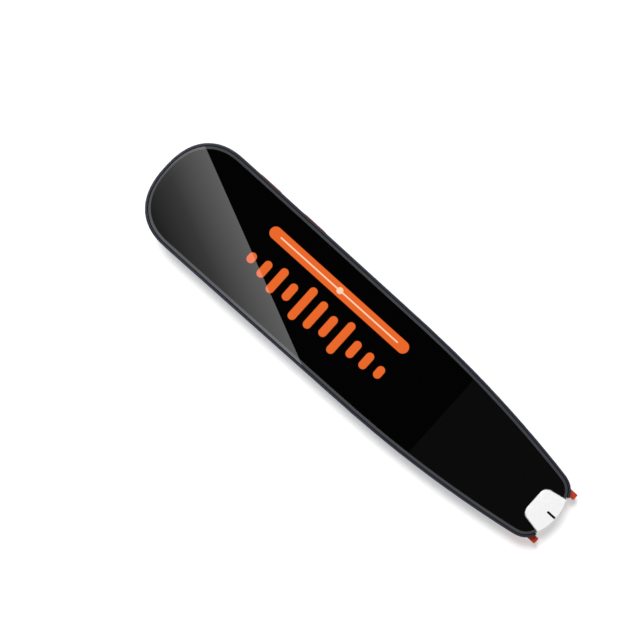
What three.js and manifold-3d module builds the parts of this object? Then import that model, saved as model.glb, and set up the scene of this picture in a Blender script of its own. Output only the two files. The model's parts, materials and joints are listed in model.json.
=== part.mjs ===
// A hand-held scanning pen: a glass front on a moulded back shell, with a scan window and a
// two-legged scan trigger at its tip. Millimetres. The pen lies on its flat back, with +Z out of
// the screen, +X towards the butt, -X towards the tip, and the two side buttons on -Y.
// Places along the pen are distances from the end of the butt, and x() turns them into X.

import * as THREE from 'three';
import { mergeVertices } from 'three/addons/utils/BufferGeometryUtils.js';
import Module from 'manifold-3d';

const wasm = await Module();
wasm.setup();

// Body
const bodyLength = 150.5;
const bodyWidth = 34;
const bodyThickness = 12.6;

// Outline, seen from the front
const buttRound = 15.5;
const buttPower = 2.4;
const tipRound = 7.5;
const tipPower = 3.1;
const draftStart = 20;
const draftShare = 0.0055;
const taperLength = 66.5;
const tipWidth = 20.2645;

// Form of the back
const sideBand = 4.1;
const sideRoll = 5.5;
const sideRollAtTip = 4;
const buttRoll = 3.4;
const tipRoll = 2.3;
const riseLength = 55.5;
const tipThickness = 8.93;

// Shell walls and the seat of the glass
const backWall = 1.3;
const sideWall = 1.4;
const ledgeInset = 1.9;
const ledgeDepth = 0.8;
const rimWidth = 0.65;
const rimDrop = 0.3;
const rimRound = 0.25;

// Cover glass and its gasket
const glassInset = 0.9;
const glassThickness = 1.1;
const glassBevel = 0.9;
const glassBevelDepth = 0.35;
const gasketThickness = 0.2;
const gasketInset = 1;
const gasketWidth = 0.8;

// Scan window in the tip
const windowTop = 9.6;
const windowTopHalf = 5.46;
const windowFoot = 1.3;
const windowFootHalf = 6.75;
const windowCorner = 2.4;
const windowWall = 1.2;
const windowSeam = 0.15;
const notchTop = 8.4;
const notchTopHalf = 4.96;
const notchFootHalf = 6.3;
const notchCorner = 2.3;
const markLength = 2.9;
const frontMarkWidth = 0.6;
const rearMarkWidth = 0.69;
const markThickness = 0.06;

// Opening in the back of the tip
const openingTop = 13.9;
const openingHalf = 5.95;
const openingCorner = 0.9;
const stepTop = 7.6;
const tipGapHalf = 7.3;

// Scan trigger: a bar across the pen, two rails and two legs
const legTop = 7.6;
const legInner = 7.47;
const legWidth = 2.01;
const legReach = 1.3;
const padProud = 0.65;
const padGap = 0.2;
const padFollowShare = 0.35;
const padOverlap = 0.48;
const triggerTravel = 0.6;
const barTop = 14.7;
const barFoot = 11.4;
const barGap = 0.2;
const barThickness = 1.6;
const railWidth = 1.5;
const railLift = 1.3;
const railHeight = 2;
const railGap = 0.2;
const toeLength = 2.8;

// Trigger return springs and the scan switch
const springWire = 0.3;
const springRadius = 0.75;
const springLength = 5.6;
const springTurns = 5;
const seatThickness = 1.4;
const scanSwitchLength = 4.6;
const scanSwitchWidth = 5.8;
const scanSwitchHeight = 2;
const plungerRadius = 0.6;
const plungerEntry = 0.9;

// Scan hood round the window and the camera behind it
const hoodTop = 11.1;
const hoodHalf = 7.17;
const hoodFoot = 1.6;
const barrelRadius = 2.2;
const barrelBore = 1.7;
const barrelLength = 11.4;
const lensThickness = 1.1;
const apertureRadius = 2.5;
const cameraBoardWidth = 12;
const cameraBoardHeight = 5;
const cameraBoardThickness = 0.8;
const bracketLength = 3.6;
const bracketWall = 1.9;
const bracketRoof = 0.3;
const ledBoardWidth = 10.8;
const ledBoardHeight = 5;
const ledBoardThickness = 0.6;
const ledSize = 1.8;
const ledThickness = 0.9;
const ledOffset = 4.5;

// Speaker in the back, near the butt
const speakerCentre = 20.2;
const grilleBorder = 1.2;
const grilleGroove = 0.4;
const grilleThickness = 0.8;
const grilleLedge = 0.6;
const slotCount = 6;
const slotWidth = 1.2;
const slotInnerShare = 0.1864;
const slotOuterShare = 0.6194;
const dotRadius = 0.615;
const dotRingShares = [0.4175, 0.6262];
const feltThickness = 0.3;
const basketGap = 0.6;
const basketWall = 0.7;
const basketSeat = 0.6;
const basketFlangeThickness = 0.6;
const magnetRadius = 4.4;
const magnetShare = 0.4167;
const coneGap = 0.5;
const coneThickness = 0.3;
const domeShare = 0.3333;
const coneTravel = 0.2;

// Side buttons and their switches
const buttonCentres = [25.55, 42.65];
const buttonLength = 9.75;
const buttonHeight = 4.5;
const buttonLiftShare = 0.67;
const buttonProud = 0.35;
const buttonGap = 0.2;
const buttonTravel = 0.4;
const flangeBorder = 0.8;
const flangeThickness = 0.8;
const flangeInset = 3.8;
const tactLength = 3.5;
const tactWidth = 2.8;
const tactHeight = 2;
const tactPlungerRadius = 0.6;
const tactPlungerLength = 1.4;
const touchGap = 0.1;

// Charging port in the butt
const portWidth = 8.94;
const portHeight = 3.16;
const portWall = 0.3;
const portLength = 7.2;
const portInset = 0.9;
const portGap = 0.2;
const tongueWidth = 6.69;
const tongueThickness = 0.7;
const tongueBase = 1.4;
const tongueInset = 1.2;

// Main board and what stands on it
const boardStart = 4.5;
const boardTipMargin = 32.5;
const boardBorder = 6;
const boardInset = 3.2;
const boardThickness = 1;
const boardSpace = 1.5;
const boardGap = 0.3;
const processorSize = 12;
const processorThickness = 0.8;
const processorOffset = 5;
const shieldBorder = 1.6;
const shieldWall = 0.2;
const shieldHeight = 1.2;
const memoryLength = 11;
const memoryWidth = 8;
const memoryThickness = 0.9;
const memoryOffset = 13;
const radioLength = 10;
const radioWidth = 9;
const radioThickness = 1.1;
const radioCentre = 18;
const radioBorder = 1.5;
const micLength = 3;
const micWidth = 2.6;
const micThickness = 0.9;
const micCentre = 7.6;
const micSpacing = 2.93;
const micHoleRadius = 0.5;

// Chassis, screws and the posts under them
const chassisStart = 6;
const chassisTipMargin = 29.5;
const chassisThickness = 0.8;
const chassisGap = 0.3;
const postRadius = 2;
const postHole = 0.75;
const postDepth = 4;
const frontPosts = 34;
const frontPostBorder = 3;
const rearPostTipMargin = 36.5;
const rearPostOffset = 6;
const screwShank = 0.65;
const screwHead = 1.15;
const screwHeadHeight = 0.9;
const screwLength = 5;
const screwRecess = 0.5;
const screwClearance = 0.25;

// Display and its tray
const displayStart = 24;
const displayTipMargin = 44.5;
const displayBorder = 3.8;
const displayCorner = 1.5;
const displayThickness = 1.6;
const trayThickness = 0.4;
const flexWidth = 8;
const flexThickness = 0.2;
const flexOffset = 2.5;
const flexSlot = 1.2;
const socketLength = 2.2;
const socketHeight = 1.1;
const cameraFlexWidth = 6;

// Battery
const batteryStart = 50;
const batteryTipMargin = 43.5;
const batteryBorder = 7.5;
const batteryCorner = 1.2;
const batteryHeadroom = 0.5;
const tapeThickness = 0.2;
const tapeBorder = 3;
const leadOffset = 1.1;
const leadWidth = 5;

// Drawing
const overrun = 1;
const joinOverlap = 0.2;
const roundEndShare = 0.999;
const arcSteps = 5;
const roundSteps = 28;
const fineSteps = 12;
const buttSteps = 12;
const flatSteps = 6;
const riseSteps = 7;
const tipSteps = 8;
const rollSteps = 5;

// Heights that follow from the sizes above
const widestHeight = bodyThickness - sideBand;
const glassBottom = bodyThickness - glassThickness;
const ledgeHeight = glassBottom - gasketThickness;
const rimTop = bodyThickness - rimDrop;
const trayTop = glassBottom - displayThickness;
const chassisTop = trayTop - trayThickness;
const chassisBottom = chassisTop - chassisThickness;
const boardTop = chassisBottom - boardSpace;
const boardBottom = boardTop - boardThickness;
const portHeightCentre = boardBottom + boardThickness / 2;
const tipRise = bodyThickness - tipThickness;
const legOuter = legInner + legWidth;

const butt = (bodyLength + legReach) / 2;
const x = (fromButt) => butt - fromButt;
const fromTip = (distance) => bodyLength - distance;

// Places along and across the pen that follow from its length and width
const taperStart = fromTip(taperLength);
const riseStart = fromTip(riseLength);
const tipNarrowing = (bodyWidth - tipWidth) / 2 - draftShare * (bodyLength - draftStart);
const boardEnd = fromTip(boardTipMargin);
const boardHalf = bodyWidth / 2 - boardBorder;
const chassisEnd = fromTip(chassisTipMargin);
const rearPosts = fromTip(rearPostTipMargin);
const frontPostOffset = boardHalf - frontPostBorder;
const boardMiddle = (frontPosts + rearPosts) / 2;
const processorCentre = boardMiddle - processorOffset;
const memoryCentre = boardMiddle + memoryOffset;
const radioOffset = radioWidth / 2 + radioBorder - boardHalf;
const micOffset = portWidth / 2 + micSpacing;
const displayEnd = fromTip(displayTipMargin);
const displayHalf = bodyWidth / 2 - displayBorder;
const batteryEnd = fromTip(batteryTipMargin);
const batteryHalf = bodyWidth / 2 - batteryBorder;

// The buttons' flanges and switches, and the speaker that fits between them
const flangeFace = flangeInset - bodyWidth / 2;
const flangeBack = flangeFace + flangeThickness;
const tactFace = flangeBack + touchGap + tactPlungerLength - plungerEntry;
const grilleRadius = bodyWidth / 2 - sideRoll - grilleBorder;
const slotInner = slotInnerShare * grilleRadius;
const slotOuter = slotOuterShare * grilleRadius;
const basketRadius = -(tactFace + tactWidth) - basketGap;
const basketFlange = grilleRadius - grilleLedge + basketSeat;
const coneRadius = basketRadius - basketWall - coneGap;

const taperShareAt = (fromButt) => Math.max(0, fromButt - taperStart) / (bodyLength - taperStart);
const rollAt = (fromButt) => sideRoll - (sideRoll - sideRollAtTip) * taperShareAt(fromButt) ** 2;

// Half the pen's width at a distance from the butt, before its ends are rounded off.
function halfWidth(fromButt) {
  const draft = draftShare * Math.max(0, fromButt - draftStart);
  return bodyWidth / 2 - draft - tipNarrowing * taperShareAt(fromButt) ** 2;
}

// Height of the flat of the back, which lifts towards the tip.
function rise(fromButt) {
  return tipRise * (Math.max(0, fromButt - riseStart) / (bodyLength - riseStart)) ** 2;
}

// Height of the back's outer surface at a place, with its rolled side.
function backSurface(fromButt, y) {
  const roll = rollAt(fromButt);
  const out = (Math.abs(y) - halfWidth(fromButt) + roll) / roll;
  const share = Math.min(1, Math.max(0, out));
  const low = rise(fromButt);
  return low + (widestHeight - low) * (1 - Math.sqrt(1 - share ** 2));
}

// Height of the back wall's inner surface at a place, with its rolled side.
function cavitySurface(fromButt, y) {
  const roll = rollAt(fromButt);
  const out = (Math.abs(y) - halfWidth(fromButt) + roll) / (roll - sideWall);
  const sine = Math.min(1, Math.max(0, out));
  const cosine = Math.sqrt(1 - sine ** 2);
  const low = rise(fromButt);
  return low + (widestHeight - low) * (1 - cosine) + backWall * cosine;
}

// One half of the outline, from the butt's end to the tip's, drawn in by an inset at the sides
// and at each end. Both ends are superellipses.
function halfOutline(sideInset, buttInset, tipInset) {
  const points = [];
  const tipBase = bodyLength - tipRound;
  for (let step = 0; step <= buttSteps; step += 1) {
    const angle = (step / buttSteps) * Math.PI / 2;
    const along = Math.max(0, Math.cos(angle)) ** (2 / buttPower);
    const across = Math.sin(angle) ** (2 / buttPower);
    const d = buttRound - (buttRound - buttInset) * along;
    points.push({ d, y: (halfWidth(d) - sideInset(d)) * across });
  }
  for (let step = 1; step <= flatSteps; step += 1) {
    const d = buttRound + (riseStart - buttRound) * (step / flatSteps);
    points.push({ d, y: halfWidth(d) - sideInset(d) });
  }
  for (let step = 1; step < riseSteps; step += 1) {
    const d = riseStart + (tipBase - riseStart) * (step / riseSteps);
    points.push({ d, y: halfWidth(d) - sideInset(d) });
  }
  for (let step = 0; step <= tipSteps; step += 1) {
    const angle = (step / tipSteps) * Math.PI / 2;
    const along = Math.sin(angle) ** (2 / tipPower);
    const across = Math.max(0, Math.cos(angle)) ** (2 / tipPower);
    const d = tipBase + (tipRound - tipInset) * along;
    points.push({ d, y: (halfWidth(d) - sideInset(d)) * across });
  }
  points[0].y = 0;
  points[points.length - 1].y = 0;
  return points;
}

// A closed solid through rings, from the lowest up. Each ring is half an outline with heights,
// and its other half is the mirror image. Its ends are closed by strips across the pen.
function loft(rings) {
  const last = rings[0].length - 1;
  const around = 2 * last;
  const positions = [];
  for (const ring of rings) {
    for (let place = 0; place < around; place += 1) {
      const mirrored = place > last;
      const point = ring[mirrored ? around - place : place];
      positions.push(x(point.d), mirrored ? -point.y : point.y, point.z);
    }
  }
  const faces = [];
  for (let level = 0; level + 1 < rings.length; level += 1) {
    for (let place = 0; place < around; place += 1) {
      const next = (place + 1) % around;
      const low = level * around;
      const high = low + around;
      faces.push(low + place, low + next, high + next);
      faces.push(low + place, high + next, high + place);
    }
  }
  const top = (rings.length - 1) * around;
  for (let place = 0; place < last; place += 1) {
    const a = place;
    const b = place + 1;
    const bMirror = around - b;
    const aMirror = (around - a) % around;
    if (b < last) {
      faces.push(a, bMirror, b);
      faces.push(top + a, top + b, top + bMirror);
    }
    if (a > 0) {
      faces.push(a, aMirror, bMirror);
      faces.push(top + a, top + bMirror, top + aMirror);
    }
  }
  const geometry = new THREE.BufferGeometry();
  geometry.setAttribute('position', new THREE.Float32BufferAttribute(positions, 3));
  geometry.setIndex(faces);
  return solid(geometry);
}

// Turns a closed geometry into a solid that can be cut and joined.
function solid(geometry) {
  const bare = geometry.clone();
  bare.deleteAttribute('normal');
  bare.deleteAttribute('uv');
  const merged = mergeVertices(bare);
  return new wasm.Manifold(new wasm.Mesh({
    numProp: 3,
    vertProperties: merged.attributes.position.array,
    triVerts: new Uint32Array(merged.index.array),
  }));
}

const join = (first, ...others) => others.reduce((whole, piece) => whole.add(piece), first);
const cut = (first, ...tools) => tools.reduce((whole, tool) => whole.subtract(tool), first);

// A flat-ended solid of the pen's own outline, drawn in all round.
function outlinePlate(inset, bottom, top) {
  const level = (z) => halfOutline(() => inset, inset, inset).map((point) => ({ ...point, z }));
  return loft([level(bottom), level(top)]);
}

function extrude(shape, depth) {
  return new THREE.ExtrudeGeometry(shape, { depth, bevelEnabled: false, curveSegments: arcSteps });
}

// A shape drawn in X and Y, between two heights.
function plate(shape, bottom, top) {
  return solid(extrude(shape, top - bottom).translate(0, 0, bottom));
}

// A shape drawn in X and Z, between two Ys.
function alongY(shape, from, to) {
  return solid(extrude(shape, to - from).rotateX(Math.PI / 2).translate(0, to, 0));
}

// A shape drawn in Y and Z, between two distances from the butt.
function alongX(shape, nearButt, nearTip) {
  const turn = new THREE.Matrix4().makeBasis(
    new THREE.Vector3(0, 1, 0),
    new THREE.Vector3(0, 0, 1),
    new THREE.Vector3(1, 0, 0),
  );
  return solid(extrude(shape, nearTip - nearButt).applyMatrix4(turn).translate(x(nearTip), 0, 0));
}

function block(nearButt, nearTip, yLow, yHigh, bottom, top) {
  const geometry = new THREE.BoxGeometry(nearTip - nearButt, yHigh - yLow, top - bottom);
  const middle = x((nearButt + nearTip) / 2);
  return solid(geometry.translate(middle, (yLow + yHigh) / 2, (bottom + top) / 2));
}

function rodX(radius, nearButt, nearTip, y, z, steps = fineSteps) {
  const geometry = new THREE.CylinderGeometry(radius, radius, nearTip - nearButt, steps);
  return solid(geometry.rotateZ(Math.PI / 2).translate(x((nearButt + nearTip) / 2), y, z));
}

function rodY(radius, fromButt, yLow, yHigh, z, steps = fineSteps) {
  const geometry = new THREE.CylinderGeometry(radius, radius, yHigh - yLow, steps);
  return solid(geometry.translate(x(fromButt), (yLow + yHigh) / 2, z));
}

function rodZ(radius, fromButt, y, bottom, top, steps = fineSteps) {
  const geometry = new THREE.CylinderGeometry(radius, radius, top - bottom, steps);
  return solid(geometry.rotateX(Math.PI / 2).translate(x(fromButt), y, (bottom + top) / 2));
}

// A profile of [radius, height] points turned about an upright axis.
function turned(profile, fromButt, y, steps = roundSteps) {
  const points = profile.map(([radius, height]) => new THREE.Vector2(radius, height));
  const geometry = new THREE.LatheGeometry(points, steps);
  return solid(geometry.rotateX(Math.PI / 2).translate(x(fromButt), y, 0));
}

function roundedRectangle(left, right, low, high, radius) {
  const shape = new THREE.Shape();
  shape.moveTo(left + radius, low);
  shape.lineTo(right - radius, low);
  shape.absarc(right - radius, low + radius, radius, -Math.PI / 2, 0);
  shape.lineTo(right, high - radius);
  shape.absarc(right - radius, high - radius, radius, 0, Math.PI / 2);
  shape.lineTo(left + radius, high);
  shape.absarc(left + radius, high - radius, radius, Math.PI / 2, Math.PI);
  shape.lineTo(left, low + radius);
  shape.absarc(left + radius, low + radius, radius, Math.PI, 1.5 * Math.PI);
  return shape;
}

// A rounded rectangle about a middle, as long and as high as stated, with round ends.
function slotShape(centre, middle, length, height) {
  const left = centre - length / 2;
  const low = middle - height / 2;
  return roundedRectangle(left, left + length, low, low + height, (height / 2) * roundEndShare);
}

function polygon(points) {
  return new THREE.Shape(points.map(([across, up]) => new THREE.Vector2(across, up)));
}

// An outline that narrows from its foot, near the tip, to a rounded head, with a bulged foot.
function windowShape(head, headHalf, foot, footHalf, corner, bulge) {
  const shoulder = headHalf + (footHalf - headHalf) * (corner / (foot - head));
  const shape = new THREE.Shape();
  shape.moveTo(x(foot), -footHalf);
  shape.lineTo(x(head + corner), -shoulder);
  shape.quadraticCurveTo(x(head), -headHalf, x(head), corner - headHalf);
  shape.lineTo(x(head), headHalf - corner);
  shape.quadraticCurveTo(x(head), headHalf, x(head + corner), shoulder);
  shape.lineTo(x(foot), footHalf);
  shape.quadraticCurveTo(x(foot + 2 * bulge), 0, x(foot), -footHalf);
  return shape;
}

// A slab over a rectangle, between two surfaces given as heights at a place.
function fittedSlab(nearButt, nearTip, yLow, yHigh, under, over, steps) {
  const positions = [];
  const faces = [];
  const row = steps + 1;
  const layer = row * row;
  for (const surface of [under, over]) {
    for (let along = 0; along <= steps; along += 1) {
      for (let across = 0; across <= steps; across += 1) {
        const d = nearTip + (nearButt - nearTip) * (along / steps);
        const y = yLow + (yHigh - yLow) * (across / steps);
        positions.push(x(d), y, surface(d, y));
      }
    }
  }
  const quad = (a, b, c, d) => faces.push(a, b, c, a, c, d);
  for (let along = 0; along < steps; along += 1) {
    for (let across = 0; across < steps; across += 1) {
      const corner = along * row + across;
      quad(corner, corner + 1, corner + row + 1, corner + row);
      quad(layer + corner, layer + corner + row, layer + corner + row + 1, layer + corner + 1);
    }
  }
  for (let step = 0; step < steps; step += 1) {
    const start = step * row;
    const end = start + steps;
    quad(start, start + row, layer + start + row, layer + start);
    quad(end + row, end, layer + end, layer + end + row);
    const far = steps * row + step;
    quad(step + 1, step, layer + step, layer + step + 1);
    quad(far, far + 1, layer + far + 1, layer + far);
  }
  const geometry = new THREE.BufferGeometry();
  geometry.setAttribute('position', new THREE.Float32BufferAttribute(positions, 3));
  geometry.setIndex(faces);
  return solid(geometry);
}

const pen = new THREE.Group();

const finishes = {
  navyPlastic: { color: 0x30345a, roughness: 0.5, metalness: 0 },
  coverGlass: { color: 0x050505, roughness: 0.05, metalness: 0 },
  blackRubber: { color: 0x121212, roughness: 0.8, metalness: 0 },
  milkyPlastic: { color: 0xf2f2f2, roughness: 0.35, metalness: 0 },
  blackInk: { color: 0x080808, roughness: 0.6, metalness: 0 },
  greyInk: { color: 0x8a8a8a, roughness: 0.6, metalness: 0 },
  orangePlastic: { color: 0xd4502c, roughness: 0.4, metalness: 0 },
  blackPlastic: { color: 0x0d0d0e, roughness: 0.6, metalness: 0 },
  springSteel: { color: 0xb9bcc0, roughness: 0.3, metalness: 1 },
  steel: { color: 0xa9acb0, roughness: 0.35, metalness: 1 },
  magnesium: { color: 0x8f9296, roughness: 0.5, metalness: 1 },
  boardGreen: { color: 0x14532d, roughness: 0.5, metalness: 0 },
  chipBlack: { color: 0x1a1a1c, roughness: 0.5, metalness: 0 },
  displayBlack: { color: 0x030303, roughness: 0.1, metalness: 0 },
  batterySilver: { color: 0x9ea3ab, roughness: 0.4, metalness: 0.3 },
  amberFilm: { color: 0x9a5a1c, roughness: 0.4, metalness: 0 },
  magnetGrey: { color: 0x5b5e63, roughness: 0.4, metalness: 1 },
  conePaper: { color: 0x2a2a2c, roughness: 0.8, metalness: 0 },
  lensGlass: { color: 0x223044, roughness: 0.05, metalness: 0 },
  ledYellow: { color: 0xf0d060, roughness: 0.4, metalness: 0 },
};

function addPart(name, shape, finish) {
  const mesh = shape.getMesh();
  const geometry = new THREE.BufferGeometry();
  geometry.setAttribute('position', new THREE.BufferAttribute(mesh.vertProperties, 3));
  geometry.setIndex(new THREE.BufferAttribute(mesh.triVerts, 1));
  geometry.computeVertexNormals();
  const part = new THREE.Mesh(geometry, new THREE.MeshStandardMaterial(finishes[finish]));
  part.name = name;
  pen.add(part);
}

// Back shell: a lofted tub with a ledge for the glass
function rollRing(turnShare, wall, tall) {
  const turn = turnShare * Math.PI / 2;
  const inward = (roll) => roll * (1 - Math.sin(turn)) + wall * Math.sin(turn);
  const outline = halfOutline((d) => inward(rollAt(d)), inward(buttRoll), inward(tipRoll));
  return outline.map((point) => {
    const low = rise(point.d);
    const lift = (widestHeight - low) * (1 - Math.cos(turn));
    return { ...point, z: low + lift + tall * Math.cos(turn) };
  });
}

function levelRing(inset, z) {
  return halfOutline(() => inset, inset, inset).map((point) => ({ ...point, z }));
}

function rolledRings(wall, tall) {
  const rings = [];
  for (let step = 0; step <= rollSteps; step += 1) rings.push(rollRing(step / rollSteps, wall, tall));
  return rings;
}

const posts = [
  { d: frontPosts, y: frontPostOffset },
  { d: frontPosts, y: -frontPostOffset },
  { d: rearPosts, y: rearPostOffset },
  { d: rearPosts, y: -rearPostOffset },
];

const flangeHeight = buttonHeight - 2 * touchGap;
const flangeFloor = cavitySurface(buttonCentres[0], flangeFace);
const flangeSpace = chassisBottom - flangeFloor - flangeHeight;
const buttonMiddle = flangeFloor + buttonLiftShare * flangeSpace + flangeHeight / 2;
const springSeat = fromTip(barTop) - springLength - touchGap;
const springOffset = legInner + railWidth / 2;
const railBottom = (fromButt) => backSurface(fromButt, legInner) + backWall + railLift;
const railLow = railBottom(fromTip(legTop));
const springHeight = railLow + railHeight / 2;
const barNear = fromTip(barTop);
const barFar = fromTip(barFoot);
const barFace = rise(barFar) + backWall + barGap;
const barRoof = barFace + barThickness;
const cameraHeight = (ledgeHeight + barRoof) / 2;

function backShell() {
  const outer = loft([
    ...rolledRings(0, 0),
    levelRing(0, rimTop - rimRound),
    levelRing(rimRound, rimTop),
  ]);
  const cavity = loft([
    ...rolledRings(sideWall, backWall),
    levelRing(sideWall, ledgeHeight - ledgeDepth),
    levelRing(ledgeInset, ledgeHeight - ledgeDepth / 2),
    levelRing(ledgeInset, ledgeHeight + overrun),
  ]);
  const glassSeat = outlinePlate(rimWidth, ledgeHeight, rimTop + overrun);
  const below = -overrun;
  const opening = roundedRectangle(
    x(bodyLength + overrun), x(fromTip(openingTop)), -openingHalf, openingHalf, openingCorner,
  );
  const slotHalf = legOuter - padOverlap / 2;
  const step = roundedRectangle(
    x(bodyLength + overrun), x(fromTip(stepTop)), -legInner, legInner, joinOverlap,
  );
  const slots = roundedRectangle(
    x(bodyLength + overrun), x(fromTip(legTop) + padProud + joinOverlap), -slotHalf, slotHalf, joinOverlap,
  );
  const slotRoof = railLow + railHeight + 2 * joinOverlap;
  const channelHalf = legInner + railWidth + railGap;
  let shell = cut(
    outer,
    cavity,
    glassSeat,
    block(
      barNear - triggerTravel - railGap, fromTip(legTop) + padProud + 2 * joinOverlap,
      -channelHalf, channelHalf, railLow - railGap, railLow + railHeight + railGap,
    ),
    plate(opening, below, ledgeHeight - ledgeDepth),
    plate(step, below, slotRoof),
    plate(slots, below, slotRoof),
    block(fromTip(tipRound), bodyLength + overrun, -tipGapHalf, tipGapHalf, below, rimTop + overrun),
    rodZ(grilleRadius + grilleGroove, speakerCentre, 0, below, grilleThickness, 2 * roundSteps),
    rodZ(grilleRadius - grilleLedge, speakerCentre, 0, below, backWall + overrun, 2 * roundSteps),
  );
  const portSlot = slotShape(0, portHeightCentre, portWidth + 2 * portGap, portHeight + 2 * portGap);
  shell = cut(
    shell,
    alongX(portSlot, -overrun, buttRoll + sideWall),
    rodX(micHoleRadius, -overrun, buttRoll + sideWall, micOffset, boardTop + micHoleRadius),
  );
  for (const centre of buttonCentres) {
    const hole = slotShape(
      x(centre), buttonMiddle, buttonLength + 2 * buttonGap, buttonHeight + 2 * buttonGap,
    );
    shell = cut(shell, alongY(hole, -bodyWidth / 2 - overrun, flangeInset - bodyWidth / 2));
  }
  for (const post of posts) {
    const foot = rise(post.d) + backWall - joinOverlap;
    const column = rodZ(postRadius, post.d, post.y, foot, boardBottom);
    const hole = rodZ(postHole, post.d, post.y, boardBottom - postDepth, boardBottom + overrun);
    shell = cut(join(shell, column), hole);
  }
  for (const side of [-1, 1]) {
    const inner = side * (springOffset - railWidth);
    const outerEdge = side * (springOffset + railWidth);
    const foot = backSurface(springSeat, springOffset - railWidth) + backWall - joinOverlap;
    shell = join(shell, block(
      springSeat - seatThickness, springSeat,
      Math.min(inner, outerEdge), Math.max(inner, outerEdge),
      foot, springHeight + springRadius + springWire,
    ));
  }
  return shell;
}
addPart('back_shell', backShell(), 'navyPlastic');

// Cover glass with a ground bevel and a notch for the scan window
const notchSlope = (notchFootHalf - notchTopHalf) / (notchTop - windowFoot);
function notch(grow, reach) {
  const head = fromTip(notchTop) - grow;
  const foot = fromTip(windowFoot) + reach;
  const footHalf = notchFootHalf + grow + notchSlope * reach;
  return windowShape(head, notchTopHalf + grow, foot, footHalf, notchCorner, windowFoot);
}

const glassBlank = loft([
  levelRing(glassInset, glassBottom),
  levelRing(glassInset, bodyThickness - glassBevelDepth),
  levelRing(glassInset + glassBevel, bodyThickness),
]);
const notchCutter = plate(notch(0, windowFoot + overrun), glassBottom - overrun, bodyThickness + overrun);
addPart('cover_glass', cut(glassBlank, notchCutter), 'coverGlass');

const gasketRing = cut(
  outlinePlate(gasketInset, ledgeHeight, glassBottom),
  outlinePlate(gasketInset + gasketWidth, ledgeHeight - overrun, glassBottom + overrun),
  block(
    fromTip(tipRound), bodyLength + overrun,
    -tipGapHalf, tipGapHalf, ledgeHeight - overrun, glassBottom + overrun,
  ),
);
addPart('glass_gasket', gasketRing, 'blackRubber');

// Scan window: a hollow milky block, open towards the camera
function tipWindow() {
  const head = fromTip(windowTop);
  const foot = fromTip(windowFoot);
  const rear = windowShape(head, windowTopHalf, foot, windowFootHalf, windowCorner, windowFoot);
  const shoulder = glassBottom - windowSeam;
  const body = plate(rear, rise(head) - overrun, shoulder);
  const front = plate(notch(-windowSeam, 0), shoulder - joinOverlap, bodyThickness);
  const slope = polygon([
    [x(head - overrun), rise(head)],
    [x(bodyLength + overrun), rise(bodyLength)],
    [x(bodyLength + overrun), rise(head) - 2 * overrun],
    [x(head - overrun), rise(head) - 2 * overrun],
  ]);
  const below = alongY(slope, -bodyWidth / 2, bodyWidth / 2);
  const inside = block(
    head - overrun, foot - windowWall,
    windowWall - windowTopHalf, windowTopHalf - windowWall,
    rise(bodyLength) + windowWall, glassBottom - windowWall,
  );
  return cut(join(body, front), below, inside);
}
addPart('tip_window', tipWindow(), 'milkyPlastic');

const markFoot = bodyLength - joinOverlap;
const frontMark = block(
  markFoot - markLength, markFoot,
  -frontMarkWidth / 2, frontMarkWidth / 2, bodyThickness, bodyThickness + markThickness,
);
addPart('front_aiming_mark', frontMark, 'blackInk');

// The rear mark lies on the sloping back of the window.
const windowBack = (fromButt) => {
  const head = fromTip(windowTop) - overrun;
  const low = rise(fromTip(windowTop));
  return low + (rise(bodyLength) - low) * ((fromButt - head) / (bodyLength + overrun - head));
};
const rearMark = fittedSlab(
  markFoot - markLength, markFoot, -rearMarkWidth / 2, rearMarkWidth / 2,
  (d) => windowBack(d) - markThickness, (d) => windowBack(d), 1,
);
addPart('rear_aiming_mark', rearMark, 'greyInk');

// Scan trigger: one moulding that slides towards the butt when its legs touch the paper
function scanTrigger() {
  const wide = legInner + railWidth;
  const top = railLow + railHeight;
  const shoulder = cavitySurface(barFar, wide) + barGap;
  const reach = legInner + joinOverlap;
  let trigger = block(barNear, barFar, -reach, reach, barFace, barRoof);
  for (const side of [-1, 1]) {
    const span = (near, far) => [Math.min(side * near, side * far), Math.max(side * near, side * far)];
    const [low, high] = span(legInner, wide);
    const neckStart = fromTip(legTop) + padProud + triggerTravel + 2 * joinOverlap;
    const shoe = bodyLength + legReach;
    const padTop = (d, y) => backSurface(d, y) - padGap;
    const padFace = (d, y) => {
      const inner = backSurface(d, legInner);
      return inner - padProud + padFollowShare * (backSurface(d, y) - inner);
    };
    const rail = join(
      block(barNear, neckStart + joinOverlap, low, high, railLow, top),
      block(barNear, barFar, low, high, shoulder, top),
    );
    const under = (d, y) => padTop(d, y) - joinOverlap / 2;
    const neck = fittedSlab(neckStart, shoe, low, high, under, () => top, 4);
    const [padLow, padHigh] = span(legInner, legOuter);
    const pad = fittedSlab(fromTip(legTop), shoe, padLow, padHigh, padFace, padTop, 6);
    const toe = fittedSlab(shoe - toeLength, shoe, padLow, padHigh, under, () => top, 4);
    trigger = join(trigger, rail, neck, pad, toe);
  }
  return trigger;
}
addPart('scan_trigger', scanTrigger(), 'orangePlastic');

// A compression spring along X, as one unbroken wire.
class Helix extends THREE.Curve {
  constructor(radius, length, turns) {
    super();
    this.radius = radius;
    this.length = length;
    this.turns = turns;
  }

  getPoint(share, target = new THREE.Vector3()) {
    const angle = 2 * Math.PI * this.turns * share;
    return target.set(
      this.length * share, this.radius * Math.cos(angle), this.radius * Math.sin(angle),
    );
  }
}

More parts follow.
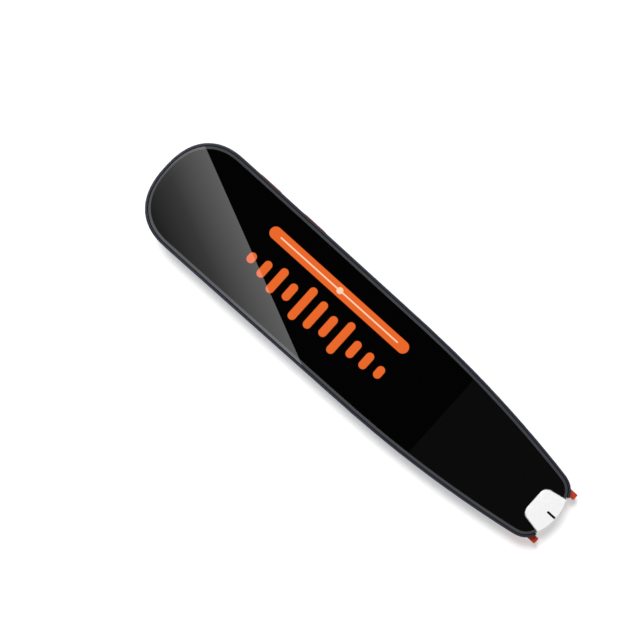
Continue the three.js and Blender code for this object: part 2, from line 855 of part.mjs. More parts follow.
function spring(side) {
  const wire = new THREE.Shape();
  wire.absarc(0, 0, springWire / 2, 0, 2 * Math.PI);
  const length = springLength - 2 * springWire;
  const path = new Helix(springRadius, length, springTurns);
  const geometry = new THREE.ExtrudeGeometry(wire, {
    steps: springTurns * 8, curveSegments: 3, extrudePath: path,
  });
  geometry.translate(x(fromTip(barTop) - springWire - touchGap / 2), side * springOffset, springHeight);
  return solid(geometry);
}
addPart('trigger_spring_left', spring(1), 'springSteel');
addPart('trigger_spring_right', spring(-1), 'springSteel');

// Switch that the trigger's bar presses
const switchEnd = barNear - plungerEntry;
const switchFloor = rise(switchEnd) + backWall + boardGap;
const scanPlungerHeight = switchFloor + scanSwitchHeight / 2;
const scanSwitchBody = cut(
  block(
    switchEnd - scanSwitchLength, switchEnd,
    -scanSwitchWidth / 2, scanSwitchWidth / 2, switchFloor, switchFloor + scanSwitchHeight,
  ),
  rodX(
    plungerRadius + touchGap, switchEnd - plungerEntry - triggerTravel - 2 * touchGap, switchEnd + overrun,
    0, scanPlungerHeight,
  ),
);
addPart('scan_switch', scanSwitchBody, 'chipBlack');
const scanPlunger = rodX(
  plungerRadius, switchEnd - plungerEntry, barNear - touchGap, 0, scanPlungerHeight,
);
addPart('scan_switch_plunger', scanPlunger, 'milkyPlastic');

// Scan hood: a black frame beside and behind the window
function scanHood() {
  const near = fromTip(hoodTop);
  const far = fromTip(hoodFoot);
  const bottom = railLow - railLift + boardGap;
  const top = ledgeHeight - touchGap;
  const head = fromTip(windowTop) - boardGap;
  const foot = fromTip(windowFoot);
  const gap = windowShape(
    head, windowTopHalf + boardGap, foot, windowFootHalf + boardGap, windowCorner, overrun,
  );
  let hood = cut(
    block(near, far, -hoodHalf, hoodHalf, bottom, top),
    plate(gap, bottom - overrun, top + overrun),
    rodX(apertureRadius, near - overrun, head + overrun, 0, cameraHeight),
  );
  for (const side of [-1, 1]) {
    const light = rodX(ledSize / 2, near - overrun, head + windowCorner, side * ledOffset, cameraHeight);
    hood = cut(hood, light);
  }
  return hood;
}
addPart('scan_hood', scanHood(), 'blackPlastic');

// Camera that looks through the hood, with its lamps
const barrelEnd = fromTip(hoodTop) - boardGap;
const barrelStart = barrelEnd - barrelLength;
const barrel = cut(
  rodX(barrelRadius, barrelStart, barrelEnd, 0, cameraHeight, roundSteps),
  rodX(barrelBore, barrelStart + barrelBore, barrelEnd + overrun, 0, cameraHeight, roundSteps),
);
addPart('camera_barrel', barrel, 'blackPlastic');
const lens = rodX(
  barrelBore - touchGap / 2, barrelEnd - 2 * lensThickness, barrelEnd - lensThickness,
  0, cameraHeight, roundSteps,
);
addPart('camera_lens', lens, 'lensGlass');
const cameraBoard = block(
  barrelStart - cameraBoardThickness, barrelStart,
  -cameraBoardWidth / 2, cameraBoardWidth / 2,
  cameraHeight - cameraBoardHeight / 2, cameraHeight + cameraBoardHeight / 2,
);
addPart('camera_board', cameraBoard, 'boardGreen');

function cameraBracket() {
  const near = barrelStart + overrun;
  const far = near + bracketLength;
  const foot = rise(far) + backWall + boardGap;
  const inner = scanSwitchWidth / 2 + boardGap;
  const outer = inner + bracketWall;
  const bore = barrelRadius + touchGap;
  const arch = polygon([
    [-outer, foot],
    [-inner, foot],
    [-inner, switchFloor + scanSwitchHeight + boardGap],
    [inner, switchFloor + scanSwitchHeight + boardGap],
    [inner, foot],
    [outer, foot],
    [outer, cameraHeight + bore + bracketRoof],
    [-outer, cameraHeight + bore + bracketRoof],
  ]);
  const cradle = rodX(bore, near - overrun, far + overrun, 0, cameraHeight, roundSteps);
  return cut(alongX(arch, near, far), cradle);
}
addPart('camera_bracket', cameraBracket(), 'magnesium');

const ledFace = barrelEnd - touchGap;
const ledBack = ledFace - ledThickness;
const ledBoard = cut(
  block(
    ledBack - ledBoardThickness, ledBack, -ledBoardWidth / 2, ledBoardWidth / 2,
    cameraHeight - ledBoardHeight / 2, cameraHeight + ledBoardHeight / 2,
  ),
  rodX(
    barrelRadius + touchGap, ledBack - ledBoardThickness - overrun, ledBack + overrun,
    0, cameraHeight, roundSteps,
  ),
);
addPart('lamp_board', ledBoard, 'boardGreen');
for (const [name, side] of [['lamp_left', 1], ['lamp_right', -1]]) {
  const middle = side * ledOffset;
  addPart(name, block(
    ledBack, ledFace, middle - ledSize / 2, middle + ledSize / 2,
    cameraHeight - ledSize / 2, cameraHeight + ledSize / 2,
  ), 'ledYellow');
}

// Speaker: a round grille flush in the back, felt, basket, cone and magnet
function arcPoints(reach, turn, radius, from, to, steps) {
  const points = [];
  for (let step = 0; step <= steps; step += 1) {
    const angle = from + (to - from) * (step / steps);
    points.push(new THREE.Vector2(
      reach * Math.cos(turn) + radius * Math.cos(angle),
      reach * Math.sin(turn) + radius * Math.sin(angle),
    ));
  }
  return points;
}

function speakerGrille() {
  const whole = 2 * Math.PI;
  const disc = new THREE.Shape(arcPoints(0, 0, grilleRadius, 0, whole, 2 * roundSteps).slice(1));
  const end = slotWidth / 2;
  for (let index = 0; index < slotCount; index += 1) {
    const turn = (index / slotCount) * whole;
    const outerEnd = arcPoints(slotOuter - end, turn, end, turn - whole / 4, turn + whole / 4, arcSteps);
    const innerEnd = arcPoints(slotInner + end, turn, end, turn + whole / 4, turn + 0.75 * whole, arcSteps);
    disc.holes.push(new THREE.Path([...outerEnd, ...innerEnd]));
    const between = turn + whole / 2 / slotCount;
    for (const share of dotRingShares) {
      const rim = arcPoints(share * grilleRadius, between, dotRadius, 0, whole, 2 * arcSteps).slice(1);
      disc.holes.push(new THREE.Path(rim));
    }
  }
  const geometry = new THREE.ExtrudeGeometry(disc, {
    depth: grilleThickness, bevelEnabled: false, curveSegments: arcSteps,
  });
  return solid(geometry.translate(x(speakerCentre), 0, 0));
}
addPart('speaker_grille', speakerGrille(), 'navyPlastic');

const feltTop = grilleThickness + feltThickness;
const feltRadius = grilleRadius - grilleLedge - grilleGroove / 2;
addPart('speaker_felt', rodZ(
  feltRadius, speakerCentre, 0, grilleThickness, feltTop, roundSteps,
), 'blackRubber');

const basketTop = boardBottom - batteryHeadroom;
const basketBack = basketTop - basketWall;
const coneRest = backWall + basketFlangeThickness + coneTravel;
const speakerSpace = basketBack - coneRest - coneThickness - coneTravel;
const magnetHeight = magnetShare * speakerSpace;
const coneDome = domeShare * speakerSpace;
const basket = turned([
  [basketRadius - basketWall, backWall],
  [basketFlange, backWall],
  [basketFlange, backWall + basketFlangeThickness],
  [basketRadius, backWall + basketFlangeThickness],
  [basketRadius, basketTop],
  [0, basketTop],
  [0, basketBack],
  [basketRadius - basketWall, basketBack],
  [basketRadius - basketWall, backWall],
], speakerCentre, 0);
addPart('speaker_basket', basket, 'blackPlastic');
addPart('speaker_magnet', rodZ(
  magnetRadius, speakerCentre, 0, basketBack - magnetHeight, basketBack, roundSteps,
), 'magnetGrey');
const cone = turned([
  [0, coneRest + coneDome],
  [coneRadius / 2, coneRest + coneDome / 2],
  [coneRadius, coneRest],
  [coneRadius, coneRest + coneThickness],
  [coneRadius / 2, coneRest + coneDome / 2 + coneThickness],
  [0, coneRest + coneDome + coneThickness],
], speakerCentre, 0);
addPart('speaker_cone', cone, 'conePaper');

// Side buttons, each with a flange inside the wall, and the switches that they press
const proudSkin = loft([
  ...rolledRings(-buttonProud, -buttonProud),
  levelRing(-buttonProud, rimTop),
]);
const tactTop = boardBottom;
const tactMiddle = tactTop - tactHeight / 2;
const buttonNames = ['upper', 'lower'];
buttonCentres.forEach((centre, index) => {
  const cap = slotShape(x(centre), buttonMiddle, buttonLength, buttonHeight);
  const flange = slotShape(
    x(centre), buttonMiddle, buttonLength + 2 * flangeBorder, flangeHeight,
  );
  const button = join(
    alongY(cap, -bodyWidth / 2 - overrun, flangeFace + joinOverlap).intersect(proudSkin),
    alongY(flange, flangeFace, flangeBack),
  );
  const name = buttonNames[index];
  addPart(`${name}_button`, button, 'orangePlastic');
  const bore = rodY(
    tactPlungerRadius + touchGap, centre,
    tactFace - overrun, tactFace + plungerEntry + buttonTravel + 2 * touchGap, tactMiddle,
  );
  const body = block(
    centre - tactLength / 2, centre + tactLength / 2,
    tactFace, tactFace + tactWidth, tactTop - tactHeight, tactTop,
  );
  addPart(`${name}_switch`, cut(body, bore), 'chipBlack');
  const plunger = rodY(
    tactPlungerRadius, centre, flangeBack + touchGap, tactFace + plungerEntry, tactMiddle,
  );
  addPart(`${name}_switch_plunger`, plunger, 'milkyPlastic');
});

// Charging port
const portBack = portInset + portLength;
const portOutside = slotShape(0, portHeightCentre, portWidth, portHeight);
const portInside = slotShape(
  0, portHeightCentre, portWidth - 2 * portWall, portHeight - 2 * portWall,
);
const portShell = cut(
  alongX(portOutside, portInset, portBack),
  alongX(portInside, portInset - overrun, portBack + overrun),
);
addPart('port_shell', portShell, 'steel');
const portPlug = slotShape(
  0, portHeightCentre, portWidth - 2 * (portWall + touchGap), portHeight - 2 * (portWall + touchGap),
);
const tongue = join(
  alongX(portPlug, portBack - tongueBase, portBack),
  block(
    portInset + tongueInset, portBack - tongueBase / 2,
    -tongueWidth / 2, tongueWidth / 2,
    portHeightCentre - tongueThickness / 2, portHeightCentre + tongueThickness / 2,
  ),
);
addPart('port_tongue', tongue, 'blackPlastic');

// Main board, with a notch for the port and holes over the posts
function mainBoard() {
  const full = outlinePlate(boardInset, boardBottom, boardTop);
  const window = block(
    boardStart, boardEnd, -boardHalf, boardHalf, boardBottom - overrun, boardTop + overrun,
  );
  let board = full.intersect(window);
  board = cut(board, block(
    boardStart - overrun, portBack + boardGap,
    -portWidth / 2 - boardGap, portWidth / 2 + boardGap, boardBottom - overrun, boardTop + overrun,
  ));
  for (const post of posts) {
    board = cut(board, rodZ(
      screwShank + screwClearance, post.d, post.y, boardBottom - overrun, boardTop + overrun,
    ));
  }
  return board;
}
addPart('main_board', mainBoard(), 'boardGreen');

const chip = (centre, offset, length, width, thickness) => block(
  centre - length / 2, centre + length / 2,
  offset - width / 2, offset + width / 2, boardTop, boardTop + thickness,
);
const processor = chip(processorCentre, 0, processorSize, processorSize, processorThickness);
addPart('processor', processor, 'chipBlack');
const shieldSize = processorSize + 2 * shieldBorder;
const shieldInside = shieldSize - 2 * shieldWall;
addPart('processor_shield', cut(
  chip(processorCentre, 0, shieldSize, shieldSize, shieldHeight),
  chip(processorCentre, 0, shieldInside, shieldInside, shieldHeight - shieldWall),
), 'steel');
addPart('memory_chip', chip(memoryCentre, 0, memoryLength, memoryWidth, memoryThickness), 'chipBlack');
addPart('radio_module', chip(
  radioCentre, radioOffset, radioLength, radioWidth, radioThickness,
), 'steel');
addPart('microphone', chip(micCentre, micOffset, micLength, micWidth, micThickness), 'steel');

// Chassis: a plate on sleeves that stand on the board over the posts
function chassis() {
  const full = outlinePlate(sideWall + chassisGap, chassisBottom, chassisTop);
  const half = bodyWidth / 2;
  const window = block(chassisStart, chassisEnd, -half, half, chassisBottom - overrun, chassisTop + overrun);
  let frame = full.intersect(window);
  const flexHole = displayEnd + flexOffset;
  frame = cut(frame, block(
    flexHole - flexSlot, flexHole + flexSlot,
    -flexWidth / 2 - boardGap, flexWidth / 2 + boardGap, chassisBottom - overrun, chassisTop + overrun,
  ));
  for (const post of posts) {
    frame = join(frame, rodZ(postRadius, post.d, post.y, boardTop, chassisTop));
  }
  for (const post of posts) {
    frame = cut(
      frame,
      rodZ(screwShank + screwClearance, post.d, post.y, boardTop - overrun, chassisTop + overrun),
      rodZ(
        screwHead + screwClearance, post.d, post.y,
        chassisTop - screwHeadHeight - touchGap, chassisTop + overrun,
      ),
    );
  }
  return frame;
}
addPart('chassis', chassis(), 'magnesium');

posts.forEach((post, index) => {
  const underHead = chassisTop - screwHeadHeight - touchGap;
  const top = chassisTop - touchGap;
  const screw = turned([
    [0, underHead - screwLength],
    [screwShank, underHead - screwLength],
    [screwShank, underHead],
    [screwHead, underHead],
    [screwHead, top],
    [screwShank, top],
    [screwShank / 2, top - screwRecess],
    [0, top - screwRecess],
  ], post.d, post.y, fineSteps);
  addPart(`chassis_screw_${index + 1}`, screw, 'steel');
});

// Display on its tray, with its flat cable down to the board
const displayShape = (border) => roundedRectangle(
  x(displayEnd + border), x(displayStart - border),
  -displayHalf - border, displayHalf + border, displayCorner,
);
addPart('display_panel', plate(displayShape(0), trayTop, glassBottom), 'displayBlack');
addPart('display_tray', plate(displayShape(0), chassisTop, trayTop), 'steel');
const flexTop = glassBottom - displayThickness / 2;
const socketTop = boardTop + socketHeight;
const flexDrop = displayEnd + flexOffset;
const flexProfile = polygon([
  [x(displayEnd + touchGap), flexTop],
  [x(flexDrop), flexTop],
  [x(flexDrop), socketTop],
  [x(flexDrop - flexThickness), socketTop],
  [x(flexDrop - flexThickness), flexTop - flexThickness],
  [x(displayEnd + touchGap), flexTop - flexThickness],
]);
addPart('display_flex', alongY(flexProfile, -flexWidth / 2, flexWidth / 2), 'amberFilm');
addPart('flex_socket', chip(
  flexDrop, 0, socketLength, flexWidth, socketHeight,
), 'chipBlack');
const cameraFlexEnd = barrelStart - cameraBoardThickness - touchGap;
addPart('camera_flex', block(
  rearPosts, cameraFlexEnd, -cameraFlexWidth / 2, cameraFlexWidth / 2,
  boardTop, boardTop + flexThickness,
), 'amberFilm');

// Battery on its tape, with its lead up to the board
const tapeTop = backWall + tapeThickness;
const batteryTop = boardBottom - batteryHeadroom;
const batteryFloor = Math.max(tapeTop, rise(batteryEnd) + tapeTop);
const batteryShape = roundedRectangle(
  x(batteryEnd), x(batteryStart), -batteryHalf, batteryHalf, batteryCorner,
);
addPart('battery', plate(batteryShape, batteryFloor, batteryTop), 'batterySilver');
const tapeShape = roundedRectangle(
  x(riseStart - tapeBorder), x(batteryStart + tapeBorder),
  tapeBorder - batteryHalf, batteryHalf - tapeBorder, batteryCorner,
);
addPart('battery_tape', plate(tapeShape, backWall, batteryFloor), 'blackRubber');
const leadHeight = (batteryFloor + batteryTop) / 2;
const leadTurn = batteryEnd + leadOffset;
const leadProfile = polygon([
  [x(batteryEnd + touchGap), leadHeight],
  [x(leadTurn), leadHeight],
  [x(leadTurn), boardBottom],
  [x(leadTurn - flexThickness), boardBottom],
  [x(leadTurn - flexThickness), leadHeight + flexThickness],
  [x(batteryEnd + touchGap), leadHeight + flexThickness],
]);
addPart('battery_lead', alongY(leadProfile, -leadWidth / 2, leadWidth / 2), 'amberFilm');

export default pen;
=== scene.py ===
"""A hand-held scanning pen, dressed round its packed model.

Metres. The pen lies on its flat back, with +Z out of the screen, +X towards the butt, -X towards
the tip and the side buttons on -Y. Places along the pen are distances from the end of the butt.
"""

import json
import math

import bmesh
import bpy
import numpy as np
from mathutils import Matrix, Vector


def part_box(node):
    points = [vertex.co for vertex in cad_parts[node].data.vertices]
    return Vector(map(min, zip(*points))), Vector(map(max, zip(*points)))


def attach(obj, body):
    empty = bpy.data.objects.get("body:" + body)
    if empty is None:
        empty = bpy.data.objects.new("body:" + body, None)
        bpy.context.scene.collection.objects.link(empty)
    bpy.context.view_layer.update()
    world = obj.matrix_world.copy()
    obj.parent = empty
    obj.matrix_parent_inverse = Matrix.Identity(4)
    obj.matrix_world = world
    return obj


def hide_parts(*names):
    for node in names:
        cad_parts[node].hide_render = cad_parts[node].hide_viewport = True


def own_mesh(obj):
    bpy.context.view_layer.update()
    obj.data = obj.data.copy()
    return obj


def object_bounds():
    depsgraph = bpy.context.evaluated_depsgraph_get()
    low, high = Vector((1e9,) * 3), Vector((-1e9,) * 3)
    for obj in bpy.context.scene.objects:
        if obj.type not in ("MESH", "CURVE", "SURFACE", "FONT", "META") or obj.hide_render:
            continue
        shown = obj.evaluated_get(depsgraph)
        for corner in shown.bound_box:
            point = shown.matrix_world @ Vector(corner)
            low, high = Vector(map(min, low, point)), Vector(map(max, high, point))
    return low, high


bl_info = {
    "name": "Scanning Pen",
    "version": (1, 0, 0),
    "blender": (4, 5, 0),
    "location": "View3D > Sidebar > Pen",
    "description": "Builds a scanning pen's shell, glass, trigger, buttons, speaker and stage",
    "category": "Add Mesh",
}

MM = 0.001

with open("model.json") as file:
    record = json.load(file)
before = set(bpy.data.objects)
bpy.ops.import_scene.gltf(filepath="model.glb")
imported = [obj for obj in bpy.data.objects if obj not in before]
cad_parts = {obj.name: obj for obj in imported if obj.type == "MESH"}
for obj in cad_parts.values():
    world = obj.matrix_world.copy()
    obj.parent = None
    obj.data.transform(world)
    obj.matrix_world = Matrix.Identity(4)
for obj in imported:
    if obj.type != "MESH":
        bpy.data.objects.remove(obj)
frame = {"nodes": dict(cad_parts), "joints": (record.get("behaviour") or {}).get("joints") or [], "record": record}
CAD_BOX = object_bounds()


def length(name, description, millimetres):
    """A size in metres, written in millimetres."""
    return bpy.props.FloatProperty(
        name=name, description=description, default=millimetres * MM,
        min=0.0, subtype="DISTANCE", unit="LENGTH", precision=5,
    )


def number(name, description, default):
    """A plain number without a unit."""
    return bpy.props.FloatProperty(name=name, description=description, default=default)


def count(name, description, default):
    """How many there are of something."""
    return bpy.props.IntProperty(name=name, description=description, default=default, min=1)


def linear(hex_colour):
    """Turns an sRGB hex value such as "#30345a" to a linear colour with alpha."""
    shares = [int(hex_colour[place:place + 2], 16) / 255 for place in (1, 3, 5)]
    return [
        share / 12.92 if share <= 0.04045 else ((share + 0.055) / 1.055) ** 2.4
        for share in shares
    ] + [1.0]


def colour(name, description, hex_colour):
    """A colour, written as an sRGB hex value."""
    return bpy.props.FloatVectorProperty(
        name=name, description=description, default=linear(hex_colour),
        size=4, min=0.0, max=1.0, subtype="COLOR",
    )


class PenBodySizes(bpy.types.PropertyGroup):
    """The outline, the form of the back and the shell's walls."""

    total: bpy.props.FloatProperty(
        name="Length over the legs", description="Butt to the ends of the trigger's legs",
        default=CAD_BOX[1].x - CAD_BOX[0].x, subtype="DISTANCE", unit="LENGTH",
    )
    length: length("Length", "Butt to tip, without the trigger's legs", 150.5)
    width: length("Width", "Across the widest part", 34)
    thickness: length("Thickness", "Flat back to the face of the glass", 12.6)
    butt_round: length("Butt round", "How far the butt's rounding reaches along the pen", 15.5)
    butt_power: number("Butt power", "Power of the butt's superellipse", 2.4)
    tip_round: length("Tip round", "How far the tip's rounding reaches along the pen", 7.5)
    tip_power: number("Tip power", "Power of the tip's superellipse", 3.1)
    draft_start: length("Draft start", "Where the sides begin to draw in", 20)
    draft: number("Draft", "How much each side draws in per length", 0.0055)
    taper: length("Taper", "Length of the narrowing part, up to the tip", 66.5)
    tip_width: length("Tip width", "Width at the tip before its rounding", 20.2645)
    widest: length("Widest height", "Height at which the rolled side ends", 8.5)
    side_roll: length("Side roll", "Width of the rolled side of the back", 5.5)
    tip_side_roll: length("Side roll at the tip", "Width of the rolled side at the tip", 4)
    butt_roll: length("Butt roll", "Width of the roll at the butt", 3.4)
    tip_roll: length("Tip roll", "Width of the roll at the tip", 2.3)
    rise: length("Rise length", "Length over which the back lifts towards the tip", 55.5)
    tip_rise: length("Tip rise", "How far the back lifts at the tip", 3.67)
    back_wall: length("Back wall", "Thickness of the shell's back", 1.3)
    side_wall: length("Side wall", "Thickness of the shell's side", 1.4)
    ledge: length("Ledge height", "Height of the ledge that carries the glass", 11.3)
    ledge_inset: length("Ledge inset", "How far in the ledge reaches", 1.9)
    ledge_depth: length("Ledge depth", "Depth of the ledge with its slope", 0.8)
    rim_top: length("Rim top", "Height of the rim round the glass", 12.3)
    rim_width: length("Rim width", "Width of the rim round the glass", 0.65)
    rim_round: length("Rim round", "Rounding of the rim's outer edge", 0.25)
    post_radius: length("Post radius", "Radius of the screw posts", 2)
    post_hole: length("Post hole", "Radius of the holes in the posts", 0.75)
    post_top: length("Post top", "Height of the posts", 6.2)
    post_depth: length("Post depth", "Depth of the holes in the posts", 4)
    front_posts: length("Front posts", "Place of the two posts near the butt", 34)
    front_post_half: length("Front post half", "Half the distance between those posts", 8)
    rear_posts: length("Rear posts", "Place of the two posts near the tip", 114)
    rear_post_half: length("Rear post half", "Half the distance between those posts", 6)
    mic_radius: length("Microphone hole", "Radius of the microphone's hole", 0.5)
    mic_offset: length("Microphone offset", "How far it is to the side", 7.4)
    mic_height: length("Microphone height", "Height of its hole", 7.7)


class GlassSizes(bpy.types.PropertyGroup):
    """The cover glass, its gasket and what the screen shows."""

    inset: length("Inset", "Glass edge to the pen's outline", 0.9)
    bottom: length("Bottom", "Height of the glass's underside", 11.5)
    bevel: length("Bevel", "Width of the ground bevel", 0.82)
    butt_bevel: length("Bevel at the butt", "Width of the ground bevel at the butt", 0.62)
    bevel_depth: length("Bevel depth", "Drop of the ground bevel", 0.35)
    gasket_inset: length("Gasket inset", "Gasket edge to the pen's outline", 1)
    gasket_width: length("Gasket width", "Width of the gasket", 0.8)
    screen_start: length("Screen start", "Where the dark screen begins", 3)
    screen_end: length("Screen end", "Where the dark screen ends", 106.5)
    wave_start: length("Wave start", "Where the sound wave begins", 33.5)
    wave_end: length("Wave end", "Where the sound wave ends", 87.4)
    wave_offset: length("Wave offset", "How far the wave is to the side", 2.6)
    wave_half: length("Wave half height", "Half the height of its tallest bar", 6.4)
    wave_pitch: length("Wave pitch", "Distance from bar to bar", 4.9)
    wave_bar: length("Wave bar", "Half the width of a bar", 1.25)
    track_offset: length("Track offset", "How far the progress bar is to the side", -7.3)
    track_half: length("Track half width", "Half the width of the progress bar", 1.85)
    line_half: length("Line half width", "Half the width of the thin line in it", 0.22)
    track_start: length("Track start", "Where the progress bar begins", 34.5)
    track_end: length("Track end", "Where the progress bar ends", 87)
    knob_place: length("Knob place", "Where the progress bar's knob is", 61)
    knob_radius: length("Knob radius", "Radius of the progress bar's knob", 1.0)


class TipSizes(bpy.types.PropertyGroup):
    """The scan window, its marks, the opening in the back and the hood."""

    window_head: length("Window head", "Window's head to the tip, seen from the back", 9.6)
    window_head_half: length("Window head half", "Half width at its head", 5.46)
    window_foot: length("Window foot", "Straight sides' ends to the tip", 1.3)
    window_foot_half: length("Window foot half", "Half width at its foot", 6.75)
    window_corner: length("Window corner", "Corner at its head", 2.4)
    window_wall: length("Window wall", "Wall of the hollow window", 1.2)
    window_round: length("Window round", "Rounding of its front edge", 0.16)
    seam: length("Seam", "Gap between the window and the glass", 0.15)
    notch_head: length("Notch head", "Notch's head to the tip, seen from the front", 8.4)
    notch_head_half: length("Notch head half", "Half width at its head", 4.96)
    notch_foot_half: length("Notch foot half", "Half width at its foot", 6.3)
    notch_corner: length("Notch corner", "Corner at its head", 2.3)
    mark_length: length("Mark length", "Length of the aiming marks", 2.9)
    mark_end: length("Mark end", "Aiming marks' ends to the tip", 0.2)
    mark_thickness: length("Mark thickness", "Thickness of the marks", 0.06)
    front_mark: length("Front mark", "Width of the front mark", 0.68)
    rear_mark: length("Rear mark", "Width of the rear mark", 0.69)
    opening: length("Opening", "Opening's head to the tip", 14.4)
    opening_half: length("Opening half", "Half its width", 5.95)
    opening_corner: length("Opening corner", "Corner at its head", 0.9)
    step: length("Step", "Wider part's head to the tip", 7.6)
    step_half: length("Step half", "Half the width of the wider part", 7.47)
    slot_start: length("Slot start", "Where the legs' slots begin, to the tip", 6.75)
    slot_half: length("Slot half", "Half the width over the legs' slots", 9.24)
    gap_half: length("Gap half", "Half the width of the gap in the tip", 6.95)
    hood_head: length("Hood head", "Hood's butt end to the tip", 11.1)
    hood_foot: length("Hood foot", "Hood's tip end to the tip", 1.1)
    hood_half: length("Hood half", "Half the hood's width", 7.17)
    hood_gap: length("Hood gap", "Gap between the hood and the window", 0.3)
    hole_radius: length("Hole radius", "Radius of the camera's hole in the hood", 2.5)
    lamp_hole: length("Lamp hole", "Radius of the lamps' holes in the hood", 0.9)
    lamp_offset: length("Lamp offset", "How far the lamps are to each side", 4.5)


class TriggerSizes(bpy.types.PropertyGroup):
    """The scan trigger and its return springs."""

    bar_head: length("Bar head", "Bar's butt side to the tip", 14.7)
    bar_foot: length("Bar foot", "Bar's tip side to the tip", 11.4)
    bar_thickness: length("Bar thickness", "Thickness of the bar", 1.6)
    bar_gap: length("Bar gap", "Gap between the bar and the shell", 0.2)
    leg_head: length("Leg head", "Legs' butt ends to the tip", 7.6)
    leg_inner: length("Leg inner", "Inner side of a leg to the middle", 7.47)
    leg_width: length("Leg width", "Width of a leg", 2.01)
    leg_reach: length("Leg reach", "How far the legs reach past the tip", 1.3)
    pad_proud: length("Pad proud", "How far a leg stands out of the back", 0.65)
    pad_gap: length("Pad gap", "Gap between a pressed leg and the shell", 0.1)
    pad_follow: number("Pad follow", "How much of the rolled side a leg's face follows", 0.35)
    pad_corner: length("Pad corner", "Corner at a leg's head", 0.75)
    rail_width: length("Rail width", "Width of a rail", 1.5)
    rail_lift: length("Rail lift", "Height of a rail over the shell", 1.3)
    rail_height: length("Rail height", "Height of a rail", 2)
    toe: length("Toe", "Length of the full-height end of a leg", 2.8)
    edge: length("Edge", "Rounding of the moulded edges", 0.22)
    spring_radius: length("Spring radius", "Radius of the return springs", 0.75)
    spring_wire: length("Spring wire", "Thickness of their wire", 0.3)
    spring_length: length("Spring length", "Length of the wound part", 5)
    spring_turns: number("Spring turns", "How many turns they have", 5)


class SpeakerSizes(bpy.types.PropertyGroup):
    """The round grille in the back."""

    centre: length("Centre", "Middle of the grille", 20.2)
    radius: length("Radius", "Radius of the grille", 10.24)
    groove: length("Groove", "Gap round the grille", 0.52)
    ledge: length("Ledge", "Width of the ledge that carries the grille", 0.6)
    thickness: length("Thickness", "Thickness of the grille", 0.8)
    edge: length("Edge", "Bevel of the grille's edges and holes", 0.14)
    slots: count("Slots", "How many slots there are", 6)
    slot_width: length("Slot width", "Width of a slot", 1.2)
    slot_inner: length("Slot inner", "Inner end of a slot", 1.92)
    slot_outer: length("Slot outer", "Outer end of a slot", 6.38)
    dot_radius: length("Dot radius", "Radius of the round holes", 0.615)
    inner_dots: length("Inner dots", "Distance of the inner round holes", 4.3)
    outer_dots: length("Outer dots", "Distance of the outer round holes", 6.45)


class ButtonSizes(bpy.types.PropertyGroup):
    """The two side buttons."""

    upper: length("Upper", "Middle of the upper button", 25.55)
    lower: length("Lower", "Middle of the lower button", 42.65)
    length: length("Length", "Length of a button", 9.75)
    height: length("Height", "Height of a button", 4.5)
    middle: length("Middle height", "Height of a button's middle", 5.75)
    proud: length("Proud", "How far a button stands out", 0.35)
    gap: length("Gap", "Gap round a button", 0.2)
    edge: length("Edge", "Rounding of a button's edge", 0.3)
    border: length("Border", "How much longer the flange is at each end", 0.8)
    flange: length("Flange", "Thickness of the flange inside the wall", 0.8)
    flange_inset: length("Flange inset", "Flange to the pen's side", 3.8)


class PortSizes(bpy.types.PropertyGroup):
    """The charging port in the butt."""

    width: length("Width", "Width of the port's shell", 8.94)
    height: length("Height", "Height of the port's shell", 3.16)
    middle: length("Middle height", "Height of the port's middle", 6.7)
    wall: length("Wall", "Thickness of its sheet metal", 0.3)
    inset: length("Inset", "Port's mouth to the butt", 0.9)
    depth: length("Depth", "Length of the port", 7.2)
    gap: length("Gap", "Gap round the port in the shell", 0.2)
    tongue_width: length("Tongue width", "Width of the tongue", 6.69)
    tongue_thickness: length("Tongue thickness", "Thickness of the tongue", 0.7)
    tongue_inset: length("Tongue inset", "Tongue's end to the port's mouth", 1.2)
    base: length("Base", "Length of the plug behind the tongue", 1.4)
    contacts: count("Contacts", "How many contacts each side of the tongue has", 12)
    contact_pitch: length("Contact pitch", "Distance from contact to contact", 0.5)
    contact_width: length("Contact width", "Width of a contact", 0.27)
    contact_length: length("Contact length", "Length of a contact", 3.2)


class FinishColours(bpy.types.PropertyGroup):
    """Colours of the finishes that show."""

    navy: colour("Navy", "The flat of the back and the grille", "#343a59")
    # Painted shade: a darker navy that stands in for the shade along the back's rolled sides.
    painted_shade_navy: colour("Deep navy", "The rolled sides of the back", "#0d1330")
    # The rim's upward faces take this navy, darker than the rest of the shell.
    rim: colour("Rim", "The rim round the glass", "#292b3a")
    orange: colour("Orange", "The trigger's legs and the buttons", "#c73a12")
    # Painted shade: a darker orange on the bar stands in for the shade in the recess it sits in.
    dark_orange: colour("Dark orange", "The trigger's bar", "#96311a")
    glass: colour("Glass", "The border of the cover glass", "#0b0b0b")
    screen: colour("Screen", "The dark screen", "#020202")
    bevel: colour("Ground bevel", "The ground edge of the glass", "#3b3d40")
    lit: colour("Lit screen", "The picture on the screen", "#ea682a")
    pale: colour("Pale line", "The thin line and the knob in the progress bar", "#ffd2b4")
    window: colour("Window", "The milky scan window", "#f6f6f6")


class StageSizes(bpy.types.PropertyGroup):
    """The floor, the lights and the camera."""

    floor: length("Floor", "Half the size of the floor", 2500)
    floor_drop: length("Floor drop", "How far the floor is under the back", 0.2)
    lens: number("Lens", "Focal length on a 36 mm sensor", 90)
    turn: number("Turn", "Turn of the pen in the picture, in degrees", 221.98)
    shift_x: length("Shift across", "Pen's middle to the picture's middle", 11.9)
    shift_y: length("Shift down", "Pen's middle to the picture's middle", 7)
    distance: length("Distance", "Camera to the pen", 470.3)
    key: number("Key", "Strength of the key light", 2.35)
    low_key: number("Low key", "Strength of the key light from below", 1.5)
    key_angle: number("Key angle", "Apparent size of the key light, in degrees", 14)
    sky: number("Sky", "Strength of the light from all round", 1)


